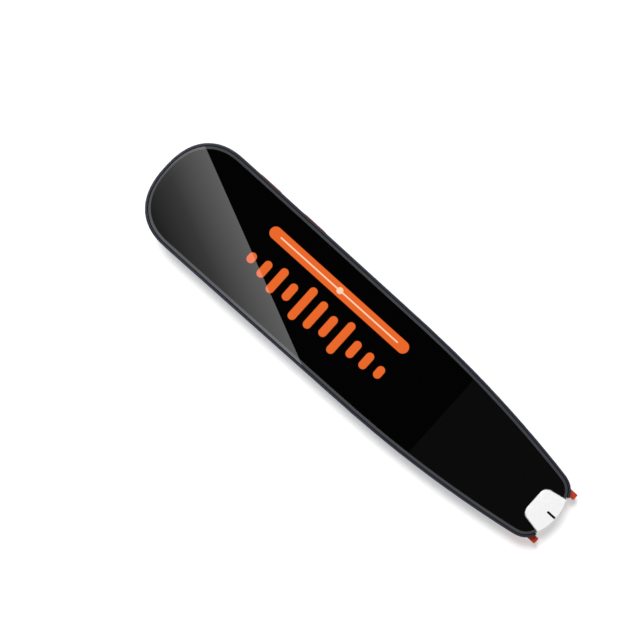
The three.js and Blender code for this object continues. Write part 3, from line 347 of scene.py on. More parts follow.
class PenForm:
    """The pen's outline and the height of its back, from the body's sizes."""

    def __init__(self, body):
        self.body = body
        self.butt = body.total / 2
        self.taper_start = body.length - body.taper
        self.rise_start = body.length - body.rise
        draft = body.draft * (body.length - body.draft_start)
        self.narrowing = (body.width - body.tip_width) / 2 - draft

    def x(self, place):
        return self.butt - place

    def from_tip(self, distance):
        return self.body.length - distance

    def tip_x(self, distance):
        return self.x(self.from_tip(distance))

    def taper_share(self, place):
        return np.maximum(0, place - self.taper_start) / self.body.taper

    def half_width(self, place):
        draft = self.body.draft * np.maximum(0, place - self.body.draft_start)
        return self.body.width / 2 - draft - self.narrowing * self.taper_share(place) ** 2

    def rise(self, place):
        share = np.maximum(0, place - self.rise_start) / self.body.rise
        return self.body.tip_rise * share ** 2

    def roll(self, place):
        drop = self.body.side_roll - self.body.tip_side_roll
        return self.body.side_roll - drop * self.taper_share(place) ** 2

    def back(self, place, y):
        """Height of the back's outer surface."""
        roll = self.roll(place)
        share = np.clip((np.abs(y) - self.half_width(place) + roll) / roll, 0, 1)
        low = self.rise(place)
        return low + (self.body.widest - low) * (1 - np.sqrt(1 - share ** 2))

    def side(self, place, z):
        """Distance of the side's outer surface from the middle, at a height."""
        low = self.rise(place)
        cosine = np.clip(1 - (z - low) / (self.body.widest - low), 0, 1)
        return self.half_width(place) - self.roll(place) * (1 - np.sqrt(1 - cosine ** 2))

    def outline(self, side_inset, butt_inset, tip_inset):
        """Half the outline, from the butt to the tip, as places and half widths."""
        body = self.body
        angle = np.linspace(0, math.pi / 2, BUTT_STEPS + 1)
        reach = body.butt_round - butt_inset
        butt = body.butt_round - reach * np.cos(angle) ** (2 / body.butt_power)
        butt_across = np.sin(angle) ** (2 / body.butt_power)
        tip_base = body.length - body.tip_round
        straight = np.concatenate([
            np.linspace(body.butt_round, self.rise_start, FLAT_STEPS + 1)[1:],
            np.linspace(self.rise_start, tip_base, RISE_STEPS + 1)[1:-1],
        ])
        angle = np.linspace(0, math.pi / 2, TIP_STEPS + 1)
        tip = tip_base + (body.tip_round - tip_inset) * np.sin(angle) ** (2 / body.tip_power)
        tip_across = np.cos(angle) ** (2 / body.tip_power)
        place = np.concatenate([butt, straight, tip])
        across = np.concatenate([butt_across, np.ones(len(straight)), tip_across])
        half = (self.half_width(place) - side_inset(place)) * across
        half[0] = 0
        half[-1] = 0
        return place, half

    def ring(self, side_inset, butt_inset, tip_inset, height):
        """The whole outline as points, at a height that may depend on the place."""
        place, half = self.outline(side_inset, butt_inset, tip_inset)
        z = height(place)
        upper = np.stack([self.x(place), half, z], axis=1)
        lower = np.stack([self.x(place), -half, z], axis=1)[-2:0:-1]
        return np.concatenate([upper, lower])

    def level_ring(self, inset, z):
        return self.ring(lambda place: inset + 0 * place, inset, inset, lambda place: z + 0 * place)

    def rolled_ring(self, share, wall, tall):
        """A ring of the rolled back, from its flat at 0 to its widest at 1."""
        turn = share * math.pi / 2
        sine = math.sin(turn)
        cosine = math.cos(turn)

        def inward(roll):
            return roll * (1 - sine) + wall * sine

        def height(place):
            low = self.rise(place)
            return low + (self.body.widest - low) * (1 - cosine) + tall * cosine

        return self.ring(
            lambda place: inward(self.roll(place)),
            inward(self.body.butt_roll), inward(self.body.tip_roll), height,
        )

    def rolled_rings(self, wall, tall):
        return [self.rolled_ring(step / ROLL_STEPS, wall, tall) for step in range(ROLL_STEPS + 1)]


BUTT_STEPS = 34
FLAT_STEPS = 10
RISE_STEPS = 22
TIP_STEPS = 22
ROLL_STEPS = 16
ARC_STEPS = 14
EDGE_STEPS = 3
GRILLE_STEPS = 160
SOUND_HOLE_STEPS = 128
EYE_STEPS = 48
ROUND_STEPS = 32
SCREW_STEPS = 24
COIL_STEPS = 28
WIRE_STEPS = 12
CUTTER_STEPS = 28
# Where the middle step of a small rounded edge lies, as a share of its radius.
EDGE_SHARE = 0.3
OVERRUN = 1 * MM
OVERLAP = 0.2 * MM
WELD = 0.001 * MM


def make(name, points, faces):
    """A closed mesh object from points and faces, with its faces turned outwards."""
    mesh = bpy.data.meshes.new(name)
    mesh.from_pydata([tuple(point) for point in points], [], faces)
    weld(mesh, 0.1 * WELD)
    piece = bpy.data.objects.new(name, mesh)
    bpy.context.scene.collection.objects.link(piece)
    return piece


def weld(mesh, distance):
    """Joins points that lie together, drops faces without an area and turns the rest outwards."""
    work = bmesh.new()
    work.from_mesh(mesh)
    bmesh.ops.remove_doubles(work, verts=work.verts, dist=distance)
    bmesh.ops.dissolve_degenerate(work, edges=work.edges, dist=distance)
    bmesh.ops.recalc_face_normals(work, faces=work.faces)
    work.to_mesh(mesh)
    work.free()


def bands(around, levels):
    """The faces between closed rings of points that follow each other."""
    faces = []
    for low in range(0, (levels - 1) * around, around):
        for step in range(around):
            after = (step + 1) % around
            faces.append((low + step, low + after, low + around + after, low + around + step))
    return faces


def loft(name, rings):
    """A closed solid through rings of the pen's outline, closed by strips across the pen."""
    around = len(rings[0])
    last = around // 2
    faces = bands(around, len(rings))
    for base in (0, (len(rings) - 1) * around):
        for place in range(last):
            corners = [place, place + 1, (around - place - 1) % around, (around - place) % around]
            faces.append(tuple(base + corner for corner in dict.fromkeys(corners)))
    return make(name, np.concatenate(rings), faces)


def upright(across, along, height):
    return np.stack([across, along, height], axis=1)


def crosswise(across, up, reach):
    return np.stack([across, reach, up], axis=1)


def lengthwise(across, up, reach):
    return np.stack([reach, across, up], axis=1)


def stack(name, outline, levels, place=upright):
    """A closed solid through drawn-in copies of a convex outline.

    Each level is an inset and a height, which may be a function of the outline's two coordinates.
    """
    rings = []
    for inset, height in levels:
        across, along = outline(inset)
        reach = height(across, along) if callable(height) else height + 0 * across
        rings.append(place(across, along, reach))
    around = len(rings[0])
    points = list(np.concatenate(rings))
    faces = bands(around, len(rings))
    for ring, base in ((rings[0], 0), (rings[-1], (len(rings) - 1) * around)):
        middle = len(points)
        points.append(ring.mean(axis=0))
        faces.extend((base + step, base + (step + 1) % around, middle) for step in range(around))
    return make(name, points, faces)


def rounded(left, right, low, high, radii):
    """An outline function for a rectangle with rounded corners, from the lower left round."""
    if not isinstance(radii, (list, tuple)):
        radii = [radii] * 4

    def outline(inset):
        across = []
        along = []
        corners = [
            (left, low, 1, 1, math.pi), (right, low, -1, 1, 1.5 * math.pi),
            (right, high, -1, -1, 0), (left, high, 1, -1, 0.5 * math.pi),
        ]
        for radius, (x, y, inward_x, inward_y, start) in zip(radii, corners):
            angle = start + np.linspace(0, math.pi / 2, ARC_STEPS + 1)
            reach = max(radius - inset, 0)
            shift = max(radius, inset)
            across.append(x + inward_x * shift + reach * np.cos(angle))
            along.append(y + inward_y * shift + reach * np.sin(angle))
        return np.concatenate(across), np.concatenate(along)

    return outline


def stadium(centre, middle, long, high):
    """An outline function for a shape with two round ends."""
    return rounded(
        centre - long / 2, centre + long / 2, middle - high / 2, middle + high / 2, high / 2,
    )


def circle(centre, middle, radius, steps):
    """An outline function for a circle."""
    angle = np.linspace(0, 2 * math.pi, steps, endpoint=False)
    return lambda inset: (
        centre + (radius - inset) * np.cos(angle), middle + (radius - inset) * np.sin(angle),
    )


def quarter_round(radius, steps=EDGE_STEPS):
    """The two distances from a corner's sides, from step to step along its rounding."""
    turns = np.linspace(0, math.pi / 2, steps + 1)
    return [(radius * (1 - math.sin(turn)), radius * (1 - math.cos(turn))) for turn in turns]


def block(name, left, right, near, far, bottom, top, edge=0.0):
    """A box with rounded edges."""
    outline = rounded(left, right, near, far, edge)
    if edge == 0:
        return stack(name, outline, [(0, bottom), (0, top)])
    steps = quarter_round(edge)
    lower = [(inset, bottom + rise) for inset, rise in steps]
    upper = [(inset, top - drop) for drop, inset in steps]
    return stack(name, outline, lower + upper)


def settle(piece):
    """Turns a piece's modifiers into its plain mesh."""
    graph = bpy.context.evaluated_depsgraph_get()
    mesh = bpy.data.meshes.new_from_object(piece.evaluated_get(graph))
    old = piece.data
    piece.modifiers.clear()
    piece.data = mesh
    bpy.data.meshes.remove(old)
    return piece


def combine(piece, operation, tools):
    """Joins, cuts or intersects a piece with others, which are used up."""
    for tool in tools:
        step = piece.modifiers.new("combine", "BOOLEAN")
        step.operation = operation
        step.solver = "MANIFOLD"
        step.object = tool
        settle(piece)
        old = tool.data
        bpy.data.objects.remove(tool)
        bpy.data.meshes.remove(old)
    if not piece.data.polygons:
        raise RuntimeError(f"nothing is left of {piece.name}")
    return piece


def dress(piece, body, slot, *nodes, angle=30.0):
    """Smooths a piece up to an edge angle, gives it its finish and ties it to the frame."""
    weld(piece.data, WELD)
    piece.data.shade_smooth()
    piece.data.set_sharp_from_angle(angle=math.radians(angle))
    evened = piece.modifiers.new("evened", "WEIGHTED_NORMAL")
    evened.keep_sharp = True
    settle(piece)
    piece.data.materials.clear()
    piece.data.materials.append(finish(slot))
    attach(piece, body)
    if nodes:
        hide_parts(*nodes)
    return piece


def paint(piece, material, chosen):
    """Gives a second finish to the faces whose middle and direction pass a test."""
    piece.data.materials.append(material)
    last = len(piece.data.materials) - 1
    for face in piece.data.polygons:
        if chosen(face.center, face.normal):
            face.material_index = last


MATH = "ShaderNodeMath"
VECTOR_MATH = "ShaderNodeVectorMath"
MAP_RANGE = "ShaderNodeMapRange"
NOISE = "ShaderNodeTexNoise"
COMBINE = "ShaderNodeCombineXYZ"
COORDINATES = "ShaderNodeTexCoord"
JOIN = "GeometryNodeJoinGeometry"
TRANSFORM = "GeometryNodeTransform"
FLOAT = "NodeSocketFloat"
MATERIAL = "NodeSocketMaterial"
VECTOR = "NodeSocketVector"


def add_node(tree, kind, inputs=None, **settings):
    """Adds a node with its settings, and sets or links its inputs."""
    made = tree.nodes.new(kind)
    for name, value in settings.items():
        setattr(made, name, value)
    for key, value in (inputs or {}).items():
        if isinstance(value, bpy.types.Node):
            value = value.outputs[0]
        if isinstance(value, bpy.types.NodeSocket):
            tree.links.new(value, made.inputs[key])
        else:
            made.inputs[key].default_value = value
    return made


def new_material(name):
    """An empty node material and its tree."""
    material = bpy.data.materials.new(name)
    material.use_nodes = True
    material.node_tree.nodes.clear()
    return material, material.node_tree


def finish_surface(tree, shader):
    add_node(tree, "ShaderNodeOutputMaterial", {"Surface": shader})


def moulded(name, base, roughness, grain, depth, mottle, metallic=0.0, deep=None, **sockets):
    """A surface with a fine grain: colour, gloss and height vary together over the grain.

    Roughness is a lowest and a highest value, grain and depth are the grain's size and height,
    and mottle is how much the colour varies. A second, darker colour is painted shade: it shows
    where the piece's own share free of painted shade falls to nothing.
    """
    material, tree = new_material(name)
    place = add_node(tree, COORDINATES).outputs["Object"]
    fine = add_node(tree, NOISE, {
        "Vector": place, "Scale": 1 / grain, "Detail": 3.0, "Roughness": 0.6,
    })
    broad = add_node(tree, NOISE, {
        "Vector": place, "Scale": 1 / (BROAD_GRAIN * grain), "Detail": 2.0,
    })
    spread = add_node(tree, MATH, {0: fine, 1: broad}, operation="ADD")
    shade, gloss = (
        add_node(tree, MAP_RANGE, {
            "Value": spread, "From Min": NOISE_RANGE[0], "From Max": NOISE_RANGE[1],
            "To Min": low, "To Max": high,
        }) for low, high in ((1 - mottle, 1 + mottle), roughness)
    )
    plain = base[:3]
    # Painted shade: the darker colour takes over where the piece's share free of painted shade falls.
    if deep:
        share = add_node(tree, "ShaderNodeAttribute", attribute_name=UNSHADED_SHARE).outputs["Fac"]
        plain = add_node(tree, "ShaderNodeMix", {
            0: share, 6: deep, 7: base,
        }, data_type="RGBA").outputs[2]
    tint = add_node(tree, VECTOR_MATH, {0: plain, "Scale": shade}, operation="SCALE")
    bump = add_node(tree, "ShaderNodeBump", {"Height": fine, "Strength": 1.0, "Distance": depth})
    shader = add_node(tree, "ShaderNodeBsdfPrincipled", {
        "Base Color": tint, "Roughness": gloss, "Normal": bump, "Metallic": metallic, **sockets,
    })
    finish_surface(tree, shader)
    return material


# The range of the two noises' sum, and how much coarser the broad one is.
NOISE_RANGE = (0.6, 1.4)
BROAD_GRAIN = 40
# The point attribute with the share free of painted shade; where the painted shade along the rolled sides is full
# and where it ends, in from the outline; where it fades out up the side walls; and how much more painted shade the
# lifting tip takes.
UNSHADED_SHARE = "flat_share"
FULL_SHADE_EDGE = 3.5 * MM
NO_SHADE_EDGE = 8.5 * MM
SIDE_START = 1.2 * MM
SIDE_FADE = 4.0 * MM
TIP_PAINTED_SHADE = 0.55


def mark_painted_shade(piece, form):
    """Notes on each point how much of the lighter tone it takes against a painted shade: all on the
    flat and up the sides, none along the roll between them, and a little less where the back lifts."""
    mesh = piece.data
    points = np.empty(3 * len(mesh.vertices))
    mesh.vertices.foreach_get("co", points)
    points, heights = np.split(points.reshape(-1, 3), [2], axis=1)
    outline = form.level_ring(0, 0)[:, :2]
    nearest = np.full(len(points), np.inf)
    for start, end in zip(outline, np.roll(outline, -1, axis=0)):
        side = end - start
        share = np.clip((points - start) @ side / (side @ side), 0, 1)
        away = points - start - share[:, None] * side
        nearest = np.minimum(nearest, np.hypot(away[:, 0], away[:, 1]))
    place = form.butt - points[:, 0]
    flat = np.clip((nearest - FULL_SHADE_EDGE) / (NO_SHADE_EDGE - FULL_SHADE_EDGE), 0, 1)
    side = np.clip((heights[:, 0] - form.rise(place) - SIDE_START) / SIDE_FADE, 0, 1)
    lift = np.clip((place - form.rise_start) / form.body.rise, 0, 1)
    flat = flat ** 2 * (3 - 2 * flat) * (1 - TIP_PAINTED_SHADE * lift)
    side = side ** 2 * (3 - 2 * side)
    shares = mesh.attributes.new(UNSHADED_SHARE, "FLOAT", "POINT")
    shares.data.foreach_set("value", np.maximum(flat, side))


def shell_plastic():
    """Spark-eroded ABS, satin: a dull sheen with a fine even grain, and a painted shade, a deeper
    tone, along the rolled sides. The grain is drawn at 0.35 mm, three times its real size, so that it shows."""
    colours = bpy.context.scene.pen_colours
    return moulded(
        "Navy ABS, spark-eroded satin", colours.navy, roughness=(0.36, 0.44),
        grain=0.35 * MM, depth=0.004 * MM, mottle=0.06, deep=colours.painted_shade_navy,
        **{"Specular IOR Level": 0.22},
    )


def orange_plastic(name, base):
    """Moulded polycarbonate with an even satin polish: bright, with soft highlights on its
    rounded edges."""
    return moulded(
        name, base, roughness=(0.30, 0.40), grain=0.3 * MM, depth=0.002 * MM, mottle=0.05,
    )


def window_plastic():
    """Opal acrylic, polished: milky and even, with a soft shine."""
    colours = bpy.context.scene.pen_colours
    return moulded(
        "Opal acrylic, polished", colours.window, roughness=(0.22, 0.30),
        grain=0.6 * MM, depth=0.0005 * MM, mottle=0.004,
    )


def capsule(tree, across, along, half_across, half_along, radius):
    """Nodes that give 1 inside a rounded rectangle and 0 outside it, with a soft edge."""
    reach = []
    for value, half in ((across, half_across), (along, half_along)):
        size = add_node(tree, MATH, {0: value}, operation="ABSOLUTE")
        inner = add_node(tree, MATH, {0: half, 1: radius}, operation="SUBTRACT")
        out = add_node(tree, MATH, {0: size, 1: inner}, operation="SUBTRACT")
        reach.append(add_node(tree, MATH, {0: out, 1: 0.0}, operation="MAXIMUM"))
    squares = [
        add_node(tree, MATH, {0: value, 1: value}, operation="MULTIPLY")
        for value in reach
    ]
    total = add_node(tree, MATH, {0: squares[0], 1: squares[1]}, operation="ADD")
    root = add_node(tree, MATH, {0: total}, operation="SQRT")
    away = add_node(tree, MATH, {0: root, 1: radius}, operation="SUBTRACT")
    return add_node(tree, MAP_RANGE, {
        "Value": away, "From Min": PIXEL_EDGE, "From Max": -PIXEL_EDGE,
        "To Min": 0.0, "To Max": 1.0,
    })


PIXEL_EDGE = 0.05 * MM
# The wave's uneven bars: a sine of the bar's number, and what share of the height it moves. Its
# shortest bar is a little longer than wide.
RIPPLE_PHASE = (2.35, 0.8)
RIPPLE_SHARE = (0.32, 0.68)
SHORTEST_BAR = 1.05
DUST_GRAIN = 3 * MM


def screen_glass():
    """Float glass, polished, printed black from behind, with a lit screen under it: a deep
    black mirror. The screen shows a sound wave and a progress bar with its knob."""
    colours = bpy.context.scene.pen_colours
    glass = bpy.context.scene.pen_glass
    form = PenForm(bpy.context.scene.pen_body)
    material, tree = new_material("Float glass, polished, black-printed")
    place = add_node(tree, COORDINATES).outputs["Object"]
    parts = add_node(tree, "ShaderNodeSeparateXYZ", {0: place})
    along, across = parts.outputs[0], parts.outputs[1]
    wave_low = form.x(glass.wave_end)
    wave_high = form.x(glass.wave_start)
    bars = (glass.wave_end - glass.wave_start) / glass.wave_pitch
    steps = add_node(tree, MATH, {0: along, 1: wave_low}, operation="SUBTRACT")
    steps = add_node(tree, MATH, {0: steps, 1: glass.wave_pitch}, operation="DIVIDE")
    bar = add_node(tree, MATH, {0: steps}, operation="FLOOR")
    local, swell, ripple = steps, bar, bar
    for operation, value in (("FRACT", 0), ("SUBTRACT", 0.5), ("MULTIPLY", glass.wave_pitch)):
        local = add_node(tree, MATH, {0: local, 1: value}, operation=operation)
    for operation, value in (("ADD", 0.5), ("MULTIPLY", math.pi / bars), ("SINE", 0)):
        swell = add_node(tree, MATH, {0: swell, 1: value}, operation=operation)
    for operation, factor, shift in (
        ("MULTIPLY_ADD", *RIPPLE_PHASE), ("SINE", 0, 0), ("MULTIPLY_ADD", *RIPPLE_SHARE),
        ("MULTIPLY", swell, 0),
        ("MULTIPLY_ADD", glass.wave_half - glass.wave_bar, glass.wave_bar * SHORTEST_BAR),
    ):
        ripple = add_node(tree, MATH, {0: ripple, 1: factor, 2: shift}, operation=operation)
    shapes = []
    track_middle = (glass.track_start + glass.track_end) / 2
    track_long = (glass.track_end - glass.track_start) / 2
    for middle, offset, half, half_across, radius in (
        (None, glass.wave_offset, glass.wave_bar, ripple, glass.wave_bar),
        (track_middle, glass.track_offset, track_long, glass.track_half, glass.track_half),
        (
            track_middle, glass.track_offset, track_long - 2 * glass.track_half,
            glass.line_half, glass.line_half,
        ),
        (glass.knob_place, glass.track_offset, *[glass.knob_radius] * 3),
    ):
        if middle is not None:
            local = add_node(tree, MATH, {0: along, 1: form.x(middle)}, operation="SUBTRACT")
        aside = add_node(tree, MATH, {0: across, 1: offset}, operation="SUBTRACT")
        shapes.append(capsule(tree, local, aside, half, half_across, radius))
    wave, track, thin, knob = shapes
    for operation, end in (("GREATER_THAN", wave_low), ("LESS_THAN", wave_high)):
        inside = add_node(tree, MATH, {0: along, 1: end}, operation=operation)
        wave = add_node(tree, MATH, {0: wave, 1: inside}, operation="MULTIPLY")
    pale = add_node(tree, MATH, {0: thin, 1: knob}, operation="MAXIMUM")
    shown_colour = add_node(tree, "ShaderNodeMix", {
        0: pale, 6: colours.lit, 7: colours.pale,
    }, data_type="RGBA").outputs[2]
    lit = add_node(tree, MATH, {0: wave, 1: track}, operation="MAXIMUM")
    screen_middle = form.x((glass.screen_start + glass.screen_end) / 2)
    screen_half = (glass.screen_end - glass.screen_start) / 2
    shown = along
    for operation, value in (
        ("SUBTRACT", screen_middle), ("ABSOLUTE", 0), ("LESS_THAN", screen_half),
    ):
        shown = add_node(tree, MATH, {0: shown, 1: value}, operation=operation)
    base = add_node(tree, "ShaderNodeMix", {
        0: shown, 6: colours.glass, 7: colours.screen,
    }, data_type="RGBA").outputs[2]
    dust = add_node(tree, NOISE, {"Vector": place, "Scale": 1 / DUST_GRAIN, "Detail": 2.0})
    gloss = add_node(tree, MAP_RANGE, {
        "Value": dust, "From Min": 0.3, "From Max": 0.7, "To Min": 0.002, "To Max": 0.008,
    })
    shader = add_node(tree, "ShaderNodeBsdfPrincipled", {
        "Base Color": base, "Roughness": gloss, "IOR": 1.5,
        "Emission Color": shown_colour, "Emission Strength": lit,
    })
    finish_surface(tree, shader)
    return material


def ground_glass():
    """Ground float glass: the edge is cut back at a slant and left matt, so it looks grey. A clear,
    level sealing coat over it mirrors what the flat glass beside it mirrors."""
    colours = bpy.context.scene.pen_colours
    material = moulded(
        "Float glass, ground edge", colours.bevel, roughness=(0.28, 0.4),
        grain=0.2 * MM, depth=0.001 * MM, mottle=0.1,
        **{"Coat Weight": 1.0, "Coat Roughness": 0.005, "Coat IOR": 1.5},
    )
    tree = material.node_tree
    shader = next(node for node in tree.nodes if node.type == "BSDF_PRINCIPLED")
    level = add_node(tree, COMBINE, {"Z": 1.0})
    tree.links.new(level.outputs["Vector"], shader.inputs["Coat Normal"])
    return material


USUAL = 0.5
# Slot, name, colour, roughness from and to, grain and its depth in mm, mottle, metallic and
# specular level.
PLAIN_FINISHES = (
    # Closed-cell foam rubber: matt, with small pores. Its near-black also serves as painted shade in the shell's
    # glass seat and round the grille.
    ("black_foam", "Foam rubber, die-cut", "#060607", 0.8, 0.95, 0.25, 0.03, 0.3, 0.0, 0.1),
    # Acetal: slippery white plastic with a waxy shine.
    ("white_plastic", "Acetal, moulded white", "#e4e4e0", 0.35, 0.45, 0.2, 0.001, 0.02, 0.0, USUAL),
    # Screen-printed ink: dense and matt, with a grainy edge.
    ("black_ink", "Black ink, screen-printed", "#030303", 0.6, 0.8, 0.1, 0.002, 0.15, 0.0, 0.1),
    ("grey_ink", "Grey ink, screen-printed", "#8c8c8c", 0.5, 0.7, 0.1, 0.002, 0.08, 0.0, USUAL),
    # Glass-filled nylon: black, dull, with faint fibres.
    ("black_plastic", "Nylon, glass-filled black", "#050506",
     0.55, 0.75, 0.3, 0.006, 0.2, 0.0, 0.15),
    # Drawn music wire: bright, with fine lines along it.
    ("spring_steel", "Music wire, drawn", "#b9bcc0", 0.22, 0.36, 0.08, 0.001, 0.05, 1.0, USUAL),
    # Stamped stainless sheet: smooth, with faint rolling marks.
    ("steel", "Stainless sheet, stamped", "#a9acb0", 0.28, 0.42, 0.25, 0.001, 0.06, 1.0, USUAL),
    # Die-cast magnesium: grey and slightly rough from the mould.
    ("magnesium", "Magnesium, die-cast", "#8f9296", 0.45, 0.62, 0.4, 0.01, 0.08, 1.0, USUAL),
    # Solder mask over glass-fibre board: glossy green with the weave just showing.
    ("board_green", "Glass-epoxy board, masked", "#14532d",
     0.3, 0.45, 0.5, 0.004, 0.12, 0.0, USUAL),
    # Epoxy moulding compound: matt black with pale specks.
    ("chip_black", "Epoxy package, moulded", "#1a1a1c", 0.5, 0.65, 0.15, 0.003, 0.15, 0.0, USUAL),
    # Polariser film: near black with a smooth gloss.
    ("display_black", "Polariser film, laminated", "#040405",
     0.1, 0.16, 1.0, 0.0005, 0.05, 0.0, USUAL),
    # Laminated foil pouch: soft silver with shallow dents.
    ("battery_silver", "Foil pouch, laminated", "#9ea3ab", 0.3, 0.5, 2.0, 0.03, 0.06, 0.6, USUAL),
    # Polyimide film: clear amber over copper.
    ("amber_film", "Polyimide film, laminated", "#9a5a1c", 0.3, 0.42, 0.6, 0.002, 0.12, 0.0, USUAL),
    # Nickel-plated sintered magnet: smooth warm grey metal.
    ("magnet_grey", "Sintered magnet, nickel-plated", "#8b8d90",
     0.25, 0.38, 0.3, 0.002, 0.06, 1.0, USUAL),
    # Pressed paper pulp: dark and fibrous.
    ("cone_paper", "Paper pulp, pressed", "#2a2a2c", 0.8, 0.95, 0.3, 0.03, 0.25, 0.0, USUAL),
    # Coated lens glass: dark, with a blue coating shine.
    ("lens_glass", "Lens glass, coated", "#121c30", 0.03, 0.06, 1.0, 0.0001, 0.03, 0.0, USUAL),
    # Phosphor gel of a lamp: matt yellow.
    ("lamp_yellow", "Phosphor gel, cast", "#f0d060", 0.4, 0.55, 0.2, 0.004, 0.08, 0.0, USUAL),
)


def plain_finishes():
    """The finishes of the pieces that the frame carries over, by their slots."""
    made = {}
    for slot, name, shade, low, high, grain, depth, mottle, metallic, level in PLAIN_FINISHES:
        made[slot] = moulded(
            name, linear(shade), (low, high), grain * MM, depth * MM, mottle, metallic,
            **{"Specular IOR Level": level},
        )
    return made


FINISHES = {}


def finish(slot):
    """The finish for a slot, made once."""
    if not FINISHES:
        colours = bpy.context.scene.pen_colours
        FINISHES.update(plain_finishes())
        FINISHES.update({
            "shell_plastic": shell_plastic(),
            "orange_plastic": orange_plastic(
                "Orange polycarbonate, moulded satin", colours.orange,
            ),
            # The bar's darker orange is painted shade for its recess.
            "dark_orange": orange_plastic(
                "Dark orange polycarbonate, moulded satin", colours.dark_orange,
            ),
            # The rim's upward faces, in a darker navy than the rest of the same shell.
            "rim": moulded(
                "Deep navy ABS, smooth rim", colours.rim, roughness=(0.45, 0.55),
                grain=0.35 * MM, depth=0.002 * MM, mottle=0.05, **{"Specular IOR Level": 0.15},
            ),
            "milky_plastic": window_plastic(),
            "cover_glass": screen_glass(),
            "ground_glass": ground_glass(),
        })
    return FINISHES[slot]


